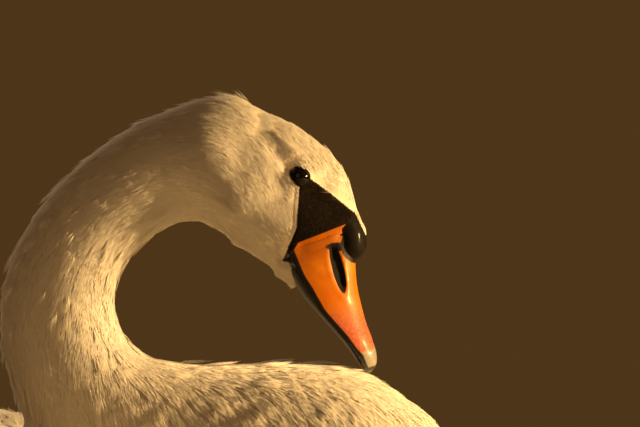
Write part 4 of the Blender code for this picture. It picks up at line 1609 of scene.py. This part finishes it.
gloss = {"Coat_Weight": 0.2, "Coat_Roughness": 0.02, "Specular_IOR_Level": 0.15}
eye_finish = Finish("eye", roughness=0.08, **gloss)
x, _, z = eye_finish.axes(eye_finish.place())
away_x, away_z = x - EYE_PLACE.x, z - EYE_PLACE.z
away = (away_x * away_x + away_z * away_z).root()
fibres = eye_finish.noise(eye_finish.place(), 1500.0, 2.0)
iris = eye_finish.blend(fibres, IRIS_DARK, IRIS_BROWN)
eye_colour = eye_finish.blend(away.ramp(PUPIL[0] * MM, PUPIL[1] * MM), PUPIL_BLACK, iris)
past_iris = away.ramp(IRIS_END[0] * MM, IRIS_END[1] * MM)
eye_colour = eye_finish.blend(past_iris, eye_colour, EYE_BLACK)
eye_finish.feed("Base Color", eye_colour)

lid_finish = Finish("lid", roughness=0.6, Specular_IOR_Level=0.05)
crease = lid_finish.noise(lid_finish.place(), 1800.0, 2.0)
# painted highlight: a thin pale line along the lower lid's edge, broken by the crease noise
rim = lid_finish.attribute("rim").ramp(0.30, 0.12) * lid_finish.attribute("low_lid")
rim = rim * crease.ramp(0.3, 0.6) * 0.3
lid_finish.feed("Base Color", lid_finish.blend(rim, SKIN_BLACK, LID_RIM_HIGHLIGHT))
lid_finish.bump(crease, 0.5, 0.0002)


# %% Eyeballs and lids
def lid_layers(bm):
    """Values for each point of a lid: how far it is from the rim, and 1 on the lower lid."""
    return bm.verts.layers.float.new("rim"), bm.verts.layers.float.new("low_lid")


def make_lid(middle, out_way, sign):
    """The upper lid where the sign is 1 and the lower one where it is -1."""
    lid = bmesh.new()
    bmesh.ops.create_uvsphere(lid, u_segments=64, v_segments=48, radius=LID_RADIUS)
    plane = BROW_WAY * sign * math.cos(LID_OPENING) - out_way * math.sin(LID_OPENING)
    slice_through(lid, Vector(), plane, clear_inner=True)
    slice_through(lid, out_way * 0.5 * MM, out_way, clear_inner=True)
    bmesh.ops.solidify(lid, geom=lid.faces[:], thickness=LID_THICKNESS)
    bmesh.ops.recalc_face_normals(lid, faces=lid.faces)
    rim, low = lid_layers(lid)
    for vertex in lid.verts:
        vertex[rim] = abs(vertex.co @ plane) / MM
        vertex[low] = 1.0 if sign < 0 else 0.0
    bmesh.ops.translate(lid, vec=middle, verts=lid.verts)
    return mesh_of(lid, "lid")


for letter, side in SIDES:
    out_way = Vector((0.12, side, 0.0)).normalized()
    middle = Vector((EYE_PLACE.x + 0.3 * MM, side * (abs(EYE_PLACE.y) - 0.2 * MM), EYE_PLACE.z - 0.5 * MM))
    ball = bmesh.new()
    bmesh.ops.create_uvsphere(ball, u_segments=48, v_segments=32, radius=BALL_RADIUS)
    bmesh.ops.translate(ball, vec=middle, verts=ball.verts)
    lids = bmesh.new()
    lid_layers(lids)
    for sign in (1, -1):
        lids.from_mesh(make_lid(middle, out_way, sign))
    for name, bm, finish, slot, nodes in (
        ("eyeball_" + letter, ball, eye_finish, "eye", ["eye_" + letter]),
        ("lids_" + letter, lids, lid_finish, "black_bill", ()),
    ):
        mesh = mesh_of(bm, name)
        mesh.shade_smooth()
        show(name, mesh, finish, nodes)

# %% [markdown]
# ## Long feathers of the wing tips and tail
# The ends of the folded hand, the primaries, show behind the wing as a narrow bundle of pointed blades.
# The tail is a wedge of stiff feathers in a shallow fan. The longest are in the middle, so the tips make
# the wedge. Each blade follows a straight line from its root to its tip, and neighbours overlap.


# %% Straight blades from lines
def straight_blades(name, blades, width):
    """Long feathers, each from its start to its end. Blades are (start, end, way out), in millimetres."""
    starts, ends, ways_out = np.array(blades, float).transpose(1, 0, 2)
    starts, ends, ways_out = starts * MM, ends * MM, unit(ways_out)
    nearest = [np.argmin(((net.points - start) ** 2).sum(1)) for start in starts]
    roots = Roots(np.column_stack([starts, ways_out, unit(ends - starts), SKIN_TABLE[nearest, 9:]]))
    shares = np.linspace(0, 1, 7)[None, :, None]
    centres = starts[:, None] * (1 - shares) + ends[:, None] * shares
    lines = centres, np.repeat(ways_out[:, None], 7, axis=1)
    length = np.linalg.norm(centres[:, -1] - centres[:, 0], axis=1)
    return lay_feathers(name, roots, LONG_LEAF, length, width, 0.5 * MM, lines, fan=0.004)


# %% Primaries, from the lowest and outermost blade to the highest
for letter, side in SIDES:
    blades = []
    for k in range(7):
        start = (-212 + 2 * k, side * (66 - 5.0 * k), 189 + 3.2 * k)
        end = (-374 + 16 * k, side * (13 + 4.2 * k), 206.5 + 1.6 * k)
        blades.append((start, end, (0, side * 0.9, 0.5)))
    piece = straight_blades("primaries_" + letter, blades, 0.023)
    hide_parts(f"wing_{letter}_primaries")

# %% Tail feathers, from the right side to the left
blades = []
for k in range(-9, 10):
    share = k / 9
    start = (-262, 44 * share, 158 + 12 * (1 - abs(share)) - 4 * (k % 2))
    end = (-412 + 66 * abs(share) ** 1.6, 70 * share * (1 - 0.20 * abs(share)), 176 - 2 * (k % 2))
    blades.append((start, end, (0, 0.5 * share, 1)))
straight_blades("tail_feathers", blades, 0.026)

# %% [markdown]
# ## Legs and claws
# The legs are folded under the belly and their solids have the right shape, so they only get their
# finish: black skin in small plates on the shank, fine grain on the webs, and dull dark horn on the
# claws.

# %% Finish of the legs
LEG_DARK, LEG_PALE, LEG_CREASE = (0.022, 0.020, 0.018), (0.052, 0.047, 0.040), (0.010, 0.009, 0.008)
CLAW_DARK, CLAW_PALE = (0.020, 0.018, 0.015), (0.075, 0.062, 0.048)

leg_finish = Finish("leg_skin", roughness=0.6, Specular_IOR_Level=0.35)
place = leg_finish.place()
to_edge = {"feature": "DISTANCE_TO_EDGE"}
plates = leg_finish.node("ShaderNodeTexVoronoi", to_edge, {"Vector": place, "Scale": 420.0})
grain = leg_finish.noise(place, 900.0, 3.0)
cloud = leg_finish.noise(place, 45.0, 3.0)
leg_colour = leg_finish.blend(cloud.ramp(0.35, 0.7), LEG_DARK, LEG_PALE)
leg_colour = leg_finish.blend(plates.ramp(0.10, 0.0) * 0.7, leg_colour, LEG_CREASE)
leg_finish.feed("Base Color", leg_colour)
leg_finish.feed("Roughness", 0.5 + 0.25 * grain)
leg_finish.bump(plates.ramp(0.0, 0.16) * 0.8 + grain * 0.2, 0.7, 0.0006)

claw_finish = Finish("claw_horn", roughness=0.4)
grain = claw_finish.noise(claw_finish.stretched(claw_finish.place(), (3.0, 0.8, 0.8)), 1100.0, 3.0)
claw_finish.feed("Base Color", claw_finish.blend(grain, CLAW_DARK, CLAW_PALE))
claw_finish.bump(grain, 0.4, 0.0003)

for name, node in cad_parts.items():
    finish = {"leg": leg_finish, "foot": leg_finish, "claw": claw_finish}.get(name.split("_")[0])
    if finish:
        for slot in node.material_slots:
            slot.material = finish.material
        print(name, "wears", finish.material.name)
